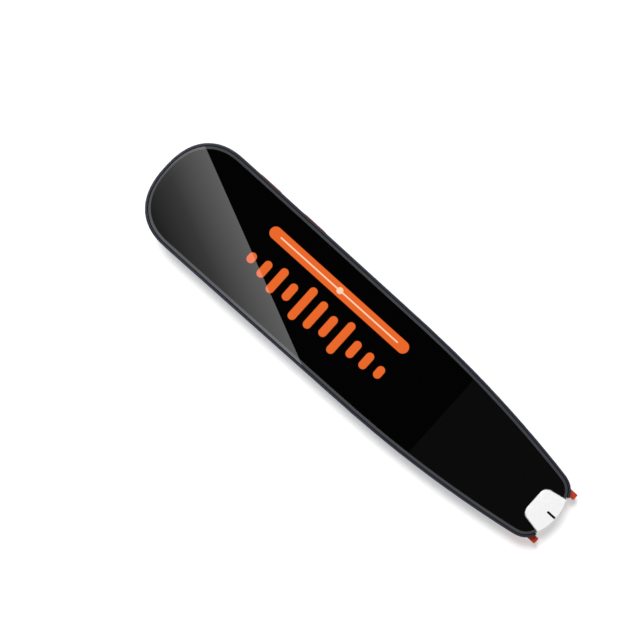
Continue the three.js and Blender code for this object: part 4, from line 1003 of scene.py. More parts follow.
class PEN_OT_stage(bpy.types.Operator):
    """Lay the floor, the lights and the camera"""

    bl_idname = "pen.stage"
    bl_label = "Stage"

    def execute(self, context):
        scene = context.scene
        stage = scene.pen_stage
        form = PenForm(scene.pen_body)
        scene.view_settings.view_transform = "Standard"
        half = stage.floor
        mesh = bpy.data.meshes.new("floor")
        corners = [(-half, -half), (half, -half), (half, half), (-half, half)]
        mesh.from_pydata([(x, y, -stage.floor_drop) for x, y in corners], [], [(0, 1, 2, 3)])
        floor = bpy.data.objects.new("floor", mesh)
        scene.collection.objects.link(floor)
        mesh.materials.append(self.floor_paint())
        floor.visible_diffuse = False
        floor.visible_shadow = False
        self.reflector(scene, stage, form)
        self.lamp(scene, "key", stage.key, stage.key_angle, KEY_DIRECTION)
        low = self.lamp(scene, "low_key", stage.low_key, 2 * stage.key_angle, LOW_KEY_DIRECTION)
        low.visible_glossy = False
        self.sky(scene, stage)
        self.camera(scene, stage)
        return {"FINISHED"}

    def lamp(self, scene, name, strength, degrees, way):
        lamp = bpy.data.objects.new(name, bpy.data.lights.new(name, "SUN"))
        lamp.data.energy = strength
        lamp.data.angle = math.radians(degrees)
        lamp.rotation_mode = "QUATERNION"
        lamp.rotation_quaternion = Vector(way).to_track_quat("Z", "Y")
        scene.collection.objects.link(lamp)
        return lamp

    def floor_paint(self):
        """Matt white card: it takes the pen's soft shadow, and is bare white elsewhere."""
        material, tree = new_material("White card, matt")
        path = add_node(tree, "ShaderNodeLightPath")
        seen = path.outputs["Is Camera Ray"]
        for ray in ("Is Glossy Ray", "Is Transmission Ray"):
            seen = add_node(tree, MATH, {0: seen, 1: path.outputs[ray]}, operation="MAXIMUM")
        grain = add_node(tree, NOISE, {
            "Vector": add_node(tree, COORDINATES).outputs["Object"],
            "Scale": 1 / FLOOR_GRAIN,
        })
        shade = add_node(tree, MAP_RANGE, {
            "Value": grain, "To Min": FLOOR_TONES[0], "To Max": FLOOR_TONES[1],
        })
        matt = add_node(tree, "ShaderNodeBsdfDiffuse", {"Color": shade})
        glow = add_node(tree, MATH, {0: seen, 1: FLOOR_GLOW}, operation="MULTIPLY")
        white = add_node(tree, "ShaderNodeEmission", {"Strength": glow})
        both = add_node(tree, "ShaderNodeAddShader", {0: matt, 1: white})
        clear = add_node(tree, "ShaderNodeBsdfTransparent")
        under = add_node(tree, "ShaderNodeNewGeometry").outputs["Backfacing"]
        finish_surface(tree, add_node(tree, "ShaderNodeMixShader", {0: under, 1: both, 2: clear}))
        return material

    def reflector(self, scene, stage, form):
        """A strip light over the pen, whose edge shows as a slant in the glass, and one further
        to the side, which shows in the ground bevel next to it."""
        camera = camera_place(stage)
        top = scene.pen_body.thickness
        mirrored = []
        for place, y in GLARE_LINE:
            point = Vector((form.x(place * MM), y * MM, top))
            mirrored.append(Vector((2 * point.x - camera.x, 2 * point.y - camera.y, camera.z)))
        along = (mirrored[0] - mirrored[1]).normalized()
        away = Vector((-along.y, along.x, 0))
        if away.x + away.y < 0:
            away.negate()
        start = mirrored[1] - along * REFLECTOR_OVERHANG
        end = mirrored[0] + along * REFLECTOR_OVERHANG
        for name, near, far, strength, levels in REFLECTORS:
            corners = [
                spot + away * reach
                for spot, reach in ((start, near), (end, near), (end, far), (start, far))
            ]
            mesh = bpy.data.meshes.new(name)
            mesh.from_pydata([tuple(corner) for corner in corners], [], [(0, 1, 2, 3)])
            strip = bpy.data.objects.new(name, mesh)
            scene.collection.objects.link(strip)
            material, tree = new_material("Strip light, graded")
            place = add_node(tree, COORDINATES).outputs["Object"]
            shifted = add_node(tree, VECTOR_MATH, {0: place, 1: start}, operation="SUBTRACT")
            depth = add_node(tree, VECTOR_MATH, {0: shifted, 1: away}, operation="DOT_PRODUCT")
            share = add_node(tree, MATH, {
                0: depth.outputs["Value"], 1: REFLECTOR_FADE,
            }, operation="DIVIDE")
            finish_surface(tree, add_node(tree, "ShaderNodeEmission", {
                "Color": level_ramp(tree, share, levels), "Strength": strength,
            }))
            mesh.materials.append(material)
            strip.visible_camera = False
            strip.visible_diffuse = False
            strip.visible_shadow = False

    def sky(self, scene, stage):
        """Soft light from all round, dark straight overhead, and white to the eye."""
        world = bpy.data.worlds.new("studio")
        scene.world = world
        world.use_nodes = True
        tree = world.node_tree
        tree.nodes.clear()
        way = add_node(tree, COORDINATES).outputs["Generated"]
        up = add_node(tree, "ShaderNodeSeparateXYZ", {0: way}).outputs[2]
        ramp = level_ramp(tree, up, SKY_LEVELS)
        nearness = add_node(tree, VECTOR_MATH, {
            0: way, 1: Vector(LOW_KEY_DIRECTION).normalized(),
        }, operation="DOT_PRODUCT").outputs["Value"]
        edge, core = (math.cos(math.radians(degrees)) for degrees in GLOW_EDGE)
        below = add_node(tree, MAP_RANGE, {
            "Value": nearness, "From Min": edge, "From Max": core,
            "To Min": 0.0, "To Max": GLOW_BELOW,
        }, interpolation_type="SMOOTHSTEP")
        side = add_node(tree, VECTOR_MATH, {
            0: way, 1: SKY_SIDE,
        }, operation="DOT_PRODUCT").outputs["Value"]
        side = add_node(tree, MAP_RANGE, {
            "Value": side, "From Min": -1.0, "To Min": SKY_SHARES[0], "To Max": SKY_SHARES[1],
        })
        above = add_node(tree, MATH, {0: ramp, 1: side}, operation="MULTIPLY")
        bounce = add_node(tree, MAP_RANGE, {
            "Value": up, "From Min": 0.0, "From Max": -BOUNCE_DEPTH,
            "To Min": 0.0, "To Max": BOUNCE,
        })
        below = add_node(tree, MATH, {0: below, 1: bounce}, operation="ADD")
        both = add_node(tree, MATH, {0: above, 1: below}, operation="ADD")
        path = add_node(tree, "ShaderNodeLightPath")
        seen = add_node(tree, MATH, {
            0: path.outputs["Is Camera Ray"], 1: path.outputs["Is Transmission Ray"],
        }, operation="MAXIMUM")
        light = add_node(tree, MATH, {0: both, 1: stage.sky}, operation="MULTIPLY")
        plain = add_node(tree, MATH, {0: 1.0, 1: light}, operation="SUBTRACT")
        strength = add_node(tree, MATH, {0: plain, 1: seen, 2: light}, operation="MULTIPLY_ADD")
        white = add_node(tree, "ShaderNodeBackground", {
            "Color": (1.0, 1.0, 1.0, 1.0), "Strength": strength,
        })
        add_node(tree, "ShaderNodeOutputWorld", {"Surface": white})

    def camera(self, scene, stage):
        turn = camera_turn(stage)
        data = bpy.data.cameras.new("camera")
        data.sensor_width = SENSOR_WIDTH
        data.lens = stage.lens
        data.clip_start, data.clip_end = CLIP_RANGE
        camera = bpy.data.objects.new("camera", data)
        scene.collection.objects.link(camera)
        axes = Matrix((turn.row[0], -turn.row[1], -turn.row[2])).transposed()
        camera.matrix_world = Matrix.Translation(camera_place(stage)) @ axes.to_4x4()
        scene.camera = camera


SENSOR_WIDTH = 36.0
CLIP_RANGE = (0.02, 20.0)
FLOOR_GRAIN = 2 * MM
FLOOR_TONES = (0.79, 0.81)
KEY_DIRECTION = (0.384, -0.176, 1.0)
LOW_KEY_DIRECTION = (0.36, -0.14, -1.0)
SKY_SIDE = (0.6, 0.8, 0.0)
SKY_SHARES = (0.4, 1.8)
FLOOR_GLOW = 0.34
GLARE_LINE = ((4.3, -12.35), (65.2, 14.93))
REFLECTOR_OVERHANG = 0.15
REFLECTOR_FADE = 0.05
GLARE_LEVELS = ((0.0, 1.0), (0.51, 0.34), (0.86, 0.135), (1.0, 0.11))
# The strips' names, where they begin and end beside the glare's edge, strengths and levels.
REFLECTORS = (
    ("reflector", 0.0, 0.2, 2.8, GLARE_LEVELS), ("bevel_reflector", 0.33, 0.6, 2.2, ((0.0, 1.0),)),
)
SKY_LEVELS = ((0.0, 0.12), (0.3, 0.12), (0.42, 0.42), (0.82, 0.42), (0.93, 0.015), (1.0, 0.01))
BOUNCE = 0.34
BOUNCE_DEPTH = 0.2
GLOW_BELOW = 1.15
GLOW_EDGE = (42, 14)


def level_ramp(tree, value, levels):
    """A ramp of grey levels by a value from 0 to 1."""
    ramp = add_node(tree, "ShaderNodeValToRGB", {"Fac": value})
    stops = ramp.color_ramp.elements
    stops.remove(stops[-1])
    stops[0].position, stops[0].color = levels[0][0], [levels[0][1]] * 3 + [1]
    for place, level in levels[1:]:
        stops.new(place).color = [level] * 3 + [1]
    return ramp


def camera_turn(stage):
    """From the pen's frame to the camera's, with x right, y down and z away."""
    angle = math.radians(stage.turn)
    spin = Matrix.Rotation(angle, 3, "Z")
    return spin @ Matrix.Diagonal((1, -1, -1))


def camera_place(stage):
    shift = Vector((stage.shift_x, stage.shift_y, stage.distance))
    return -(camera_turn(stage).transposed() @ shift)


def window_outline(form, head, head_half, foot, foot_half, corner, bulge):
    """Outline of the window: rounded head, straight flaring sides and a bulged foot."""
    def curve(start, control, end):
        share = np.linspace(0, 1, ARC_STEPS + 1)[:, None]
        return (1 - share) ** 2 * start + 2 * share * (1 - share) * control + share ** 2 * end

    def outline(inset):
        near = head + inset
        far = foot - inset * 0.5
        slope = (foot_half - head_half) / (foot - head)
        shoulder = head_half + slope * corner - inset
        half = head_half - inset
        foot_edge = foot_half - inset
        x = form.x
        points = [
            np.array([[x(far), -foot_edge]]),
            curve(
                np.array([x(head + corner), -shoulder]), np.array([x(near), -half]),
                np.array([x(near), corner - head_half]),
            ),
            curve(
                np.array([x(near), head_half - corner]), np.array([x(near), half]),
                np.array([x(head + corner), shoulder]),
            ),
            curve(
                np.array([x(far), foot_edge]), np.array([x(far + 2 * bulge), 0]),
                np.array([x(far), -foot_edge]),
            )[:-1],
        ]
        joined = np.concatenate(points)
        return joined[:, 0], joined[:, 1]

    return outline


def notch_outline(form, tip, grow, reach):
    """Outline of the glass's notch, grown all round and made longer past its foot."""
    slope = (tip.notch_foot_half - tip.notch_head_half) / (tip.notch_head - tip.window_foot)
    return window_outline(
        form, form.from_tip(tip.notch_head) - grow, tip.notch_head_half + grow,
        form.from_tip(tip.window_foot) + reach, tip.notch_foot_half + grow + slope * reach,
        tip.notch_corner, tip.window_foot,
    )


def travel_of(name):
    """How far a sliding joint moves."""
    joints = {joint["name"]: joint for joint in frame["joints"]}
    return joints[name]["range_m"][1]


def rail_low(form, trigger):
    """Height of the underside of the trigger's rails."""
    place = form.from_tip(trigger.leg_head)
    return form.back(place, trigger.leg_inner) + form.body.back_wall + trigger.rail_lift


class PEN_OT_back_shell(bpy.types.Operator):
    """Build the back shell with its openings, posts and ledge"""

    bl_idname = "pen.back_shell"
    bl_label = "Back shell"

    def execute(self, context):
        scene = context.scene
        body = scene.pen_body
        form = PenForm(body)
        rim = [
            form.level_ring(inset, body.rim_top - drop)
            for drop, inset in quarter_round(body.rim_round, EDGE_STEPS + 1)
        ]
        flat = [
            form.ring(
                lambda place: form.roll(place) + inset * MM, body.butt_roll + inset * MM,
                body.tip_roll + inset * MM, form.rise,
            ) for inset in FLAT_INSETS
        ]
        shell = loft("back_shell_fine", [*flat, *form.rolled_rings(0, 0), *rim])
        ledge = body.ledge - body.ledge_depth
        cavity = loft("cavity", [
            *form.rolled_rings(body.side_wall, body.back_wall),
            form.level_ring(body.side_wall, ledge),
            form.level_ring(body.ledge_inset, ledge + body.ledge_depth / 2),
            form.level_ring(body.ledge_inset, body.ledge + OVERRUN),
        ])
        seat = loft("seat", [
            form.level_ring(body.rim_width, body.ledge),
            form.level_ring(body.rim_width, body.rim_top + OVERRUN),
        ])
        combine(shell, "DIFFERENCE", [cavity, seat])
        combine(shell, "UNION", self.posts(scene, form))
        combine(shell, "DIFFERENCE", self.post_holes(scene, form))
        combine(shell, "DIFFERENCE", [
            *self.tip_tools(scene, form, ledge), *self.speaker_tools(scene, form),
            *self.side_tools(scene, form), *self.butt_tools(scene, form),
        ])
        dress(shell, "housing", "shell_plastic", "back_shell", angle=24)
        # Painted shade along the rolled sides and where the back lifts towards the tip.
        mark_painted_shade(shell, form)
        speaker = scene.pen_speaker
        centre = Vector((form.x(speaker.centre), 0))
        skin = OVERLAP / 4

        # Faces of the rim's top that look up: these take the darker navy.
        def darker_rim_face(middle, way):
            return middle.z > body.rim_top - body.rim_round - skin and way.z > RIM_FACING

        # Painted shade: the seat's inner walls and the ledge under the glass edge take the near-black foam finish,
        # so that the gap between rim and glass reads dark.
        def shaded_seat_face(middle, way):
            upright = abs(way.z) < WALL_FACING and middle.z < body.rim_top - body.rim_round
            outer = upright and way.xy.dot(middle.xy) > 0
            return middle.z > body.ledge - skin and not outer

        # Painted shade: the groove round the grille takes the near-black foam finish, standing in for the shade in
        # it.
        def shaded_groove_face(middle, way):
            near = (middle.xy - centre).length < speaker.radius + speaker.groove + skin
            return near and speaker.edge + skin < middle.z < speaker.thickness + skin

        # Painted shade in the glass seat, in the foam finish.
        paint(shell, finish("black_foam"), shaded_seat_face)
        # The rim's upward faces take a darker navy than the rest of the shell.
        paint(shell, finish("rim"), darker_rim_face)
        # Painted shade in the grille's groove, in the foam finish.
        paint(shell, finish("black_foam"), shaded_groove_face)
        return {"FINISHED"}

    def post_places(self, body):
        return [
            (place, side * half) for place, half in (
                (body.front_posts, body.front_post_half), (body.rear_posts, body.rear_post_half),
            ) for side in (1, -1)
        ]

    def posts(self, scene, form):
        body, trigger = scene.pen_body, scene.pen_trigger
        made = [
            stack("post", circle(form.x(place), y, body.post_radius, ROUND_STEPS), [
                (0, form.rise(place) + body.back_wall - OVERLAP), (0, body.post_top),
            ]) for place, y in self.post_places(body)
        ]
        middle = trigger.leg_inner + trigger.rail_width / 2
        place = form.from_tip(trigger.bar_head) - SPRING_SEAT
        height = rail_low(form, trigger) + trigger.rail_height / 2
        for side in (1, -1):
            edges = sorted(
                side * (middle + reach) for reach in (-trigger.rail_width, trigger.rail_width)
            )
            foot = form.back(place, middle - trigger.rail_width) + body.back_wall - OVERLAP
            made.append(block(
                "spring_seat", form.x(place), form.x(place - SEAT_THICKNESS), *edges,
                foot, height + trigger.spring_radius + trigger.spring_wire,
            ))
        return made

    def post_holes(self, scene, form):
        body = scene.pen_body
        return [
            stack("hole", circle(form.x(place), y, body.post_hole, SCREW_STEPS), [
                (0, body.post_top - body.post_depth), (0, body.post_top + OVERRUN),
            ]) for place, y in self.post_places(body)
        ]

    def tip_tools(self, scene, form, ledge):
        body, tip, trigger = scene.pen_body, scene.pen_tip, scene.pen_trigger
        end = form.x(body.length + OVERRUN)
        low = rail_low(form, trigger)
        roof = low + trigger.rail_height + 2 * OVERLAP
        start = form.tip_x(tip.slot_start)
        channel = trigger.leg_inner + trigger.rail_width + trigger.bar_gap
        return [
            stack("opening", rounded(
                end, form.tip_x(tip.opening), -tip.opening_half, tip.opening_half,
                tip.opening_corner,
            ), [(0, -OVERRUN), (0, ledge)]),
            stack("step", rounded(
                end, form.tip_x(tip.step), -tip.step_half, tip.step_half, OVERLAP,
            ), [(0, -OVERRUN), (0, roof)]),
            stack("slots", rounded(
                end, start, -tip.slot_half, tip.slot_half, OVERLAP,
            ), [(0, -OVERRUN), (0, roof)]),
            block(
                "gap", end, form.tip_x(body.tip_round), -tip.gap_half, tip.gap_half,
                -OVERRUN, body.rim_top + OVERRUN,
            ),
            block(
                "channel", start - OVERLAP,
                form.tip_x(trigger.bar_head) + trigger.bar_thickness / 2,
                -channel, channel,
                low - trigger.bar_gap, low + trigger.rail_height + trigger.bar_gap,
            ),
        ]

    def speaker_tools(self, scene, form):
        speaker, body = scene.pen_speaker, scene.pen_body
        centre = form.x(speaker.centre)
        radius = speaker.radius + speaker.groove
        return [
            stack("recess", circle(centre, 0, radius, GRILLE_STEPS), [
                (-speaker.edge - OVERLAP, -OVERLAP), (0, speaker.edge), (0, speaker.thickness),
            ]),
            stack(
                "sound_hole",
                circle(centre, 0, speaker.radius - speaker.ledge, SOUND_HOLE_STEPS),
                [(0, -OVERRUN), (0, body.back_wall + OVERRUN)],
            ),
        ]

    def side_tools(self, scene, form):
        button, body = scene.pen_buttons, scene.pen_body
        depth = button.flange_inset - body.width / 2
        return [
            stack("button_hole", stadium(
                form.x(centre), button.middle,
                button.length + 2 * button.gap, button.height + 2 * button.gap,
            ), [(0, -body.width / 2 - OVERRUN), (0, depth)], crosswise)
            for centre in (button.upper, button.lower)
        ]

    def butt_tools(self, scene, form):
        port, body = scene.pen_port, scene.pen_body
        reach = form.x(body.butt_roll + body.side_wall)
        mouth = stadium(0, port.middle, port.width + 2 * port.gap, port.height + 2 * port.gap)
        return [
            stack("port_slot", mouth, [(0, reach), (0, form.butt + OVERRUN)], lengthwise),
            stack(
                "mic_hole", circle(body.mic_offset, body.mic_height, body.mic_radius, ROUND_STEPS),
                [(0, reach), (0, form.butt + OVERRUN)], lengthwise,
            ),
        ]


# Rings on the flat of the back: how far in from the roll they lie, in mm.
FLAT_INSETS = (4.2, 3, 2.1, 1.2, 0.4)
SPRING_SEAT = 5.7 * MM
SEAT_THICKNESS = 1.4 * MM
# How far a face looks up: above the first it is the rim's, below the second a wall's.
RIM_FACING = 0.1
WALL_FACING = 0.5


class PEN_OT_cover_glass(bpy.types.Operator):
    """Build the cover glass with its ground bevel, and its gasket"""

    bl_idname = "pen.cover_glass"
    bl_label = "Cover glass"

    def execute(self, context):
        scene = context.scene
        body, glass, tip = scene.pen_body, scene.pen_glass, scene.pen_tip
        form = PenForm(body)
        pane = loft("cover_glass_fine", [
            form.level_ring(glass.inset, glass.bottom),
            form.level_ring(glass.inset, body.thickness - glass.bevel_depth),
            form.ring(
                lambda place: glass.inset + glass.bevel + 0 * place, glass.inset + glass.butt_bevel,
                glass.inset + glass.bevel, lambda place: body.thickness + 0 * place,
            ),
        ])
        cutter = stack("notch", notch_outline(form, tip, 0, tip.window_foot + OVERRUN), [
            (0, glass.bottom - OVERRUN), (0, body.thickness + OVERRUN),
        ])
        combine(pane, "DIFFERENCE", [cutter])
        dress(pane, "housing", "cover_glass", "cover_glass", angle=12)
        low, high = BEVEL_FACING
        paint(pane, finish("ground_glass"), lambda middle, way: low < way.z < high)
        ring = loft("glass_gasket_fine", [
            form.level_ring(glass.gasket_inset, body.ledge),
            form.level_ring(glass.gasket_inset, glass.bottom),
        ])
        combine(ring, "DIFFERENCE", [
            loft("gasket_hole", [
                form.level_ring(glass.gasket_inset + glass.gasket_width, body.ledge - OVERRUN),
                form.level_ring(glass.gasket_inset + glass.gasket_width, glass.bottom + OVERRUN),
            ]),
            block(
                "gasket_gap", form.x(body.length + OVERRUN), form.tip_x(body.tip_round),
                -tip.hood_half, tip.hood_half, body.ledge - OVERRUN, glass.bottom + OVERRUN,
            ),
        ])
        dress(ring, "housing", "black_foam", "glass_gasket")
        return {"FINISHED"}


# How far a face of the bevel looks up, at least and at most.
BEVEL_FACING = (0.3, 0.97)


class PEN_OT_scan_tip(bpy.types.Operator):
    """Build the scan window, its aiming marks and the hood round it"""

    bl_idname = "pen.scan_tip"
    bl_label = "Scan window and hood"

    def execute(self, context):
        scene = context.scene
        body, glass, tip = scene.pen_body, scene.pen_glass, scene.pen_tip
        form = PenForm(body)
        head = form.from_tip(tip.window_head)
        foot = form.from_tip(tip.window_foot)
        shoulder = glass.bottom - tip.seam
        low = form.rise(head)
        slope = (form.rise(body.length) - low) / (tip.window_head + 2 * OVERRUN)

        def back(x, y):
            place = form.butt - x
            return low + slope * (place - head + OVERRUN)

        rear = window_outline(
            form, head, tip.window_head_half, foot, tip.window_foot_half,
            tip.window_corner, tip.window_foot,
        )
        edge = tip.window_round
        window = stack("tip_window_fine", rear, [
            (edge, back),
            (edge * EDGE_SHARE, lambda x, y: back(x, y) + edge * EDGE_SHARE),
            (0, lambda x, y: back(x, y) + edge),
            (0, shoulder),
        ])
        front = stack("front_window", notch_outline(form, tip, -tip.seam, 0), [
            (0, shoulder - OVERLAP), (0, body.thickness - edge),
            (edge * EDGE_SHARE, body.thickness - edge * EDGE_SHARE), (edge, body.thickness),
        ])
        combine(window, "UNION", [front])
        combine(window, "DIFFERENCE", [block(
            "hollow", form.x(foot - tip.window_wall), form.x(head - OVERRUN),
            tip.window_wall - tip.window_head_half, tip.window_head_half - tip.window_wall,
            form.rise(body.length) + tip.window_wall, glass.bottom - tip.window_wall,
        )])
        dress(window, "housing", "milky_plastic", "tip_window", angle=35)
        self.marks(scene, form, back)
        self.hood(scene, form, head, foot)
        return {"FINISHED"}

    def marks(self, scene, form, back):
        body, tip = scene.pen_body, scene.pen_tip
        end = form.x(body.length - tip.mark_end)
        start = end + tip.mark_length
        skin = tip.mark_thickness
        front = stack("front_mark_fine", rounded(
            end, start, -tip.front_mark / 2, tip.front_mark / 2, tip.front_mark / 3,
        ), [(0, body.thickness), (0, body.thickness + skin)])
        dress(front, "housing", "black_ink", "front_aiming_mark")
        rear = stack("rear_mark_fine", rounded(
            end, start, -tip.rear_mark / 2, tip.rear_mark / 2, tip.rear_mark / 3,
        ), [(0, lambda x, y: back(x, y) - skin), (0, back)])
        dress(rear, "housing", "grey_ink", "rear_aiming_mark")

    def hood(self, scene, form, head, foot):
        tip, trigger = scene.pen_tip, scene.pen_trigger
        near = form.tip_x(tip.hood_head)
        far = form.tip_x(tip.hood_foot)
        bottom = rail_low(form, trigger) - trigger.rail_lift + tip.hood_gap
        top = scene.pen_glass.bottom - tip.hood_gap / 3
        hood = block(
            "scan_hood_fine", far, near, -tip.hood_half, tip.hood_half, bottom, top, HOOD_EDGE,
        )
        gap = window_outline(
            form, head - tip.hood_gap, tip.window_head_half + tip.seam, foot,
            tip.window_foot_half + tip.seam / 2, tip.window_corner, OVERRUN,
        )
        eye = scene.pen_camera_height
        tools = [
            stack("hood_gap", gap, [(0, bottom - OVERRUN), (0, top + OVERRUN)]),
            stack("hood_eye", circle(0, eye, tip.hole_radius, EYE_STEPS), [
                (0, form.x(head) - OVERRUN), (0, near + OVERRUN),
            ], lengthwise),
        ]
        for side in (1, -1):
            hole = circle(side * tip.lamp_offset, eye, tip.lamp_hole, ROUND_STEPS)
            tools.append(stack("hood_lamp", hole, [
                (0, form.x(head + tip.window_corner)), (0, near + OVERRUN),
            ], lengthwise))
        combine(hood, "DIFFERENCE", tools)
        dress(hood, "housing", "black_plastic", "scan_hood")


HOOD_EDGE = 0.12 * MM


class PEN_OT_scan_trigger(bpy.types.Operator):
    """Build the two-legged scan trigger and its return springs"""

    bl_idname = "pen.scan_trigger"
    bl_label = "Scan trigger"

    def execute(self, context):
        scene = context.scene
        body, trigger = scene.pen_body, scene.pen_trigger
        form = PenForm(body)
        near = form.from_tip(trigger.bar_head)
        far = form.from_tip(trigger.bar_foot)
        face = form.rise(far) + body.back_wall + trigger.bar_gap
        low = rail_low(form, trigger)
        top = low + trigger.rail_height
        wide = trigger.leg_inner + trigger.rail_width
        reach = trigger.leg_inner + OVERLAP
        edge = trigger.edge
        whole = block(
            "scan_trigger_fine", form.x(far), form.x(near), -reach, reach,
            face, face + trigger.bar_thickness, edge,
        )
        shoulder = self.cavity(form, far, wide) + trigger.bar_gap
        neck = form.from_tip(trigger.leg_head) + trigger.pad_proud + NECK_CLEARANCE
        shoe = body.length + trigger.leg_reach
        travel = travel_of("scan_press")
        for side in (1, -1):
            inner, outer = sorted((side * trigger.leg_inner, side * wide))
            leg = trigger.leg_inner + trigger.leg_width
            pad_edges = sorted((side * trigger.leg_inner, side * leg))

            def pad_top(x, y):
                return form.back(form.butt - x - travel, y) - trigger.pad_gap

            def root(x, y):
                return pad_top(x, y) - OVERLAP

            def pad_face(x, y):
                level = form.back(form.butt - x, trigger.leg_inner)
                follow = trigger.pad_follow * (form.back(form.butt - x, y) - level)
                return level - trigger.pad_proud + follow

            corner = trigger.pad_corner
            pad = rounded(
                form.x(shoe), form.tip_x(trigger.leg_head), *pad_edges,
                [PAD_FOOT_CORNER, corner, corner, PAD_FOOT_CORNER],
            )
            levels = [
                (inset, lambda x, y, rise=rise: pad_face(x, y) + rise)
                for inset, rise in quarter_round(edge)
            ]
            levels.extend((share * trigger.leg_width, pad_top) for share in FACE_RINGS)
            toe = rounded(form.x(shoe), form.x(shoe - trigger.toe), *pad_edges, TOE_CORNER)
            slim = rounded(form.x(shoe) + 2 * edge, form.x(neck), inner, outer, NECK_CORNER)
            combine(whole, "UNION", [
                *(
                    block(part, start, form.x(near), inner, outer, foot, top, RAIL_EDGE)
                    for part, start, foot in (
                        ("rail", form.x(neck + OVERLAP), low), ("shoulder", form.x(far), shoulder),
                    )
                ),
                stack("neck", slim, [
                    *((share * trigger.rail_width, root) for share in FACE_RINGS[::-1]), (0, top),
                ]),
                stack("pad", pad, levels),
                stack("toe", toe, [
                    *((share * trigger.leg_width, root) for share in FACE_RINGS[::-1]),
                    (0, top - edge),
                    (edge * EDGE_SHARE, top - edge * EDGE_SHARE), (edge, top),
                ]),
            ])
        dress(whole, "trigger", "orange_plastic", "scan_trigger", angle=35)
        bar_end = form.x(far) - OVERLAP
        # Painted shade: the bar, in its recess, takes the darker orange.
        paint(whole, finish("dark_orange"), lambda middle, way: middle.x > bar_end)
        self.springs(scene, form, low)
        return {"FINISHED"}

    def cavity(self, form, place, y):
        """Height of the back wall's inner surface."""
        body = form.body
        roll = form.roll(place)
        sine = np.clip((abs(y) - form.half_width(place) + roll) / (roll - body.side_wall), 0, 1)
        cosine = math.sqrt(1 - sine ** 2)
        low = form.rise(place)
        return low + (body.widest - low) * (1 - cosine) + body.back_wall * cosine

    def springs(self, scene, form, low):
        trigger = scene.pen_trigger
        start = form.tip_x(trigger.bar_head) + trigger.spring_wire + SPRING_CLEARANCE
        middle = trigger.leg_inner + trigger.rail_width / 2
        height = low + trigger.rail_height / 2
        for name, side in (("left", 1), ("right", -1)):
            spring = wound_spring(
                f"trigger_spring_{name}_fine", trigger, Vector((start, side * middle, height)),
                finish("spring_steel"),
            )
            dress(spring, "housing", "spring_steel", f"trigger_spring_{name}")
            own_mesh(spring)


NECK_CLEARANCE = 1.0 * MM
SPRING_CLEARANCE = 0.05 * MM
PAD_FOOT_CORNER = 0.3 * MM
TOE_CORNER = 0.25 * MM
NECK_CORNER = 0.05 * MM
RAIL_EDGE = 0.1 * MM
# How far in the rings on a leg's curved faces lie, as shares of its width.
FACE_RINGS = (0, 0.15, 0.3, 0.45)


def new_tree(name, inputs):
    """An empty geometry node tree with named inputs."""
    tree = bpy.data.node_groups.new(name, "GeometryNodeTree")
    tree.interface.new_socket("Geometry", in_out="INPUT", socket_type="NodeSocketGeometry")
    for label, kind in inputs:
        tree.interface.new_socket(label, in_out="INPUT", socket_type=kind)
    tree.interface.new_socket("Geometry", in_out="OUTPUT", socket_type="NodeSocketGeometry")
    return tree, add_node(tree, "NodeGroupInput")


def end_tree(tree, geometry, material):
    """Ends a geometry node tree with plain geometry in its material."""
    plain = add_node(tree, "GeometryNodeRealizeInstances", {0: geometry})
    painted = add_node(tree, "GeometryNodeSetMaterial", {0: plain, "Material": material})
    add_node(tree, "NodeGroupOutput", {0: painted})


def grow(piece, tree, values):
    """Runs a geometry node tree on a piece with its inputs set, and keeps the plain mesh."""
    step = piece.modifiers.new(tree.name, "NODES")
    step.node_group = tree
    sockets = {
        item.name: item.identifier
        for item in tree.interface.items_tree if item.in_out == "INPUT"
    }
    for name, value in values.items():
        step[sockets[name]] = value
    settle(piece)
    if not piece.data.polygons:
        raise RuntimeError(f"{tree.name} made nothing")
    return piece


def bare(name):
    """An object with an empty mesh, for a tree that makes its own shape."""
    piece = bpy.data.objects.new(name, bpy.data.meshes.new(name))
    bpy.context.scene.collection.objects.link(piece)
    return piece


def wound_spring(name, trigger, start, material):
    """A compression spring along the pen, wound by nodes."""
    tree, given = new_tree("Wound spring", [
        *((name, FLOAT) for name in ("Radius", "Wire", "Length", "Turns")),
        ("Start", VECTOR), ("Material", MATERIAL),
    ])
    out = given.outputs
    coil = add_node(tree, "GeometryNodeCurveSpiral", {
        "Resolution": COIL_STEPS, "Rotations": out["Turns"], "Start Radius": out["Radius"],
        "End Radius": out["Radius"], "Height": out["Length"],
    })
    radius = add_node(tree, MATH, {0: out["Wire"], 1: 0.5}, operation="MULTIPLY")
    wire = add_node(tree, "GeometryNodeCurvePrimitiveCircle", {
        "Resolution": WIRE_STEPS, "Radius": radius,
    })
    tube = add_node(tree, "GeometryNodeCurveToMesh", {
        "Curve": coil, "Profile Curve": wire.outputs["Curve"], "Fill Caps": True,
    })
    laid = add_node(tree, TRANSFORM, {
        0: tube, "Rotation": (0.0, math.pi / 2, 0.0), "Translation": out["Start"],
    })
    end_tree(tree, laid, out["Material"])
    return grow(bare(name), tree, {
        "Radius": trigger.spring_radius, "Wire": trigger.spring_wire,
        "Length": trigger.spring_length, "Turns": trigger.spring_turns,
        "Start": start, "Material": material,
    })


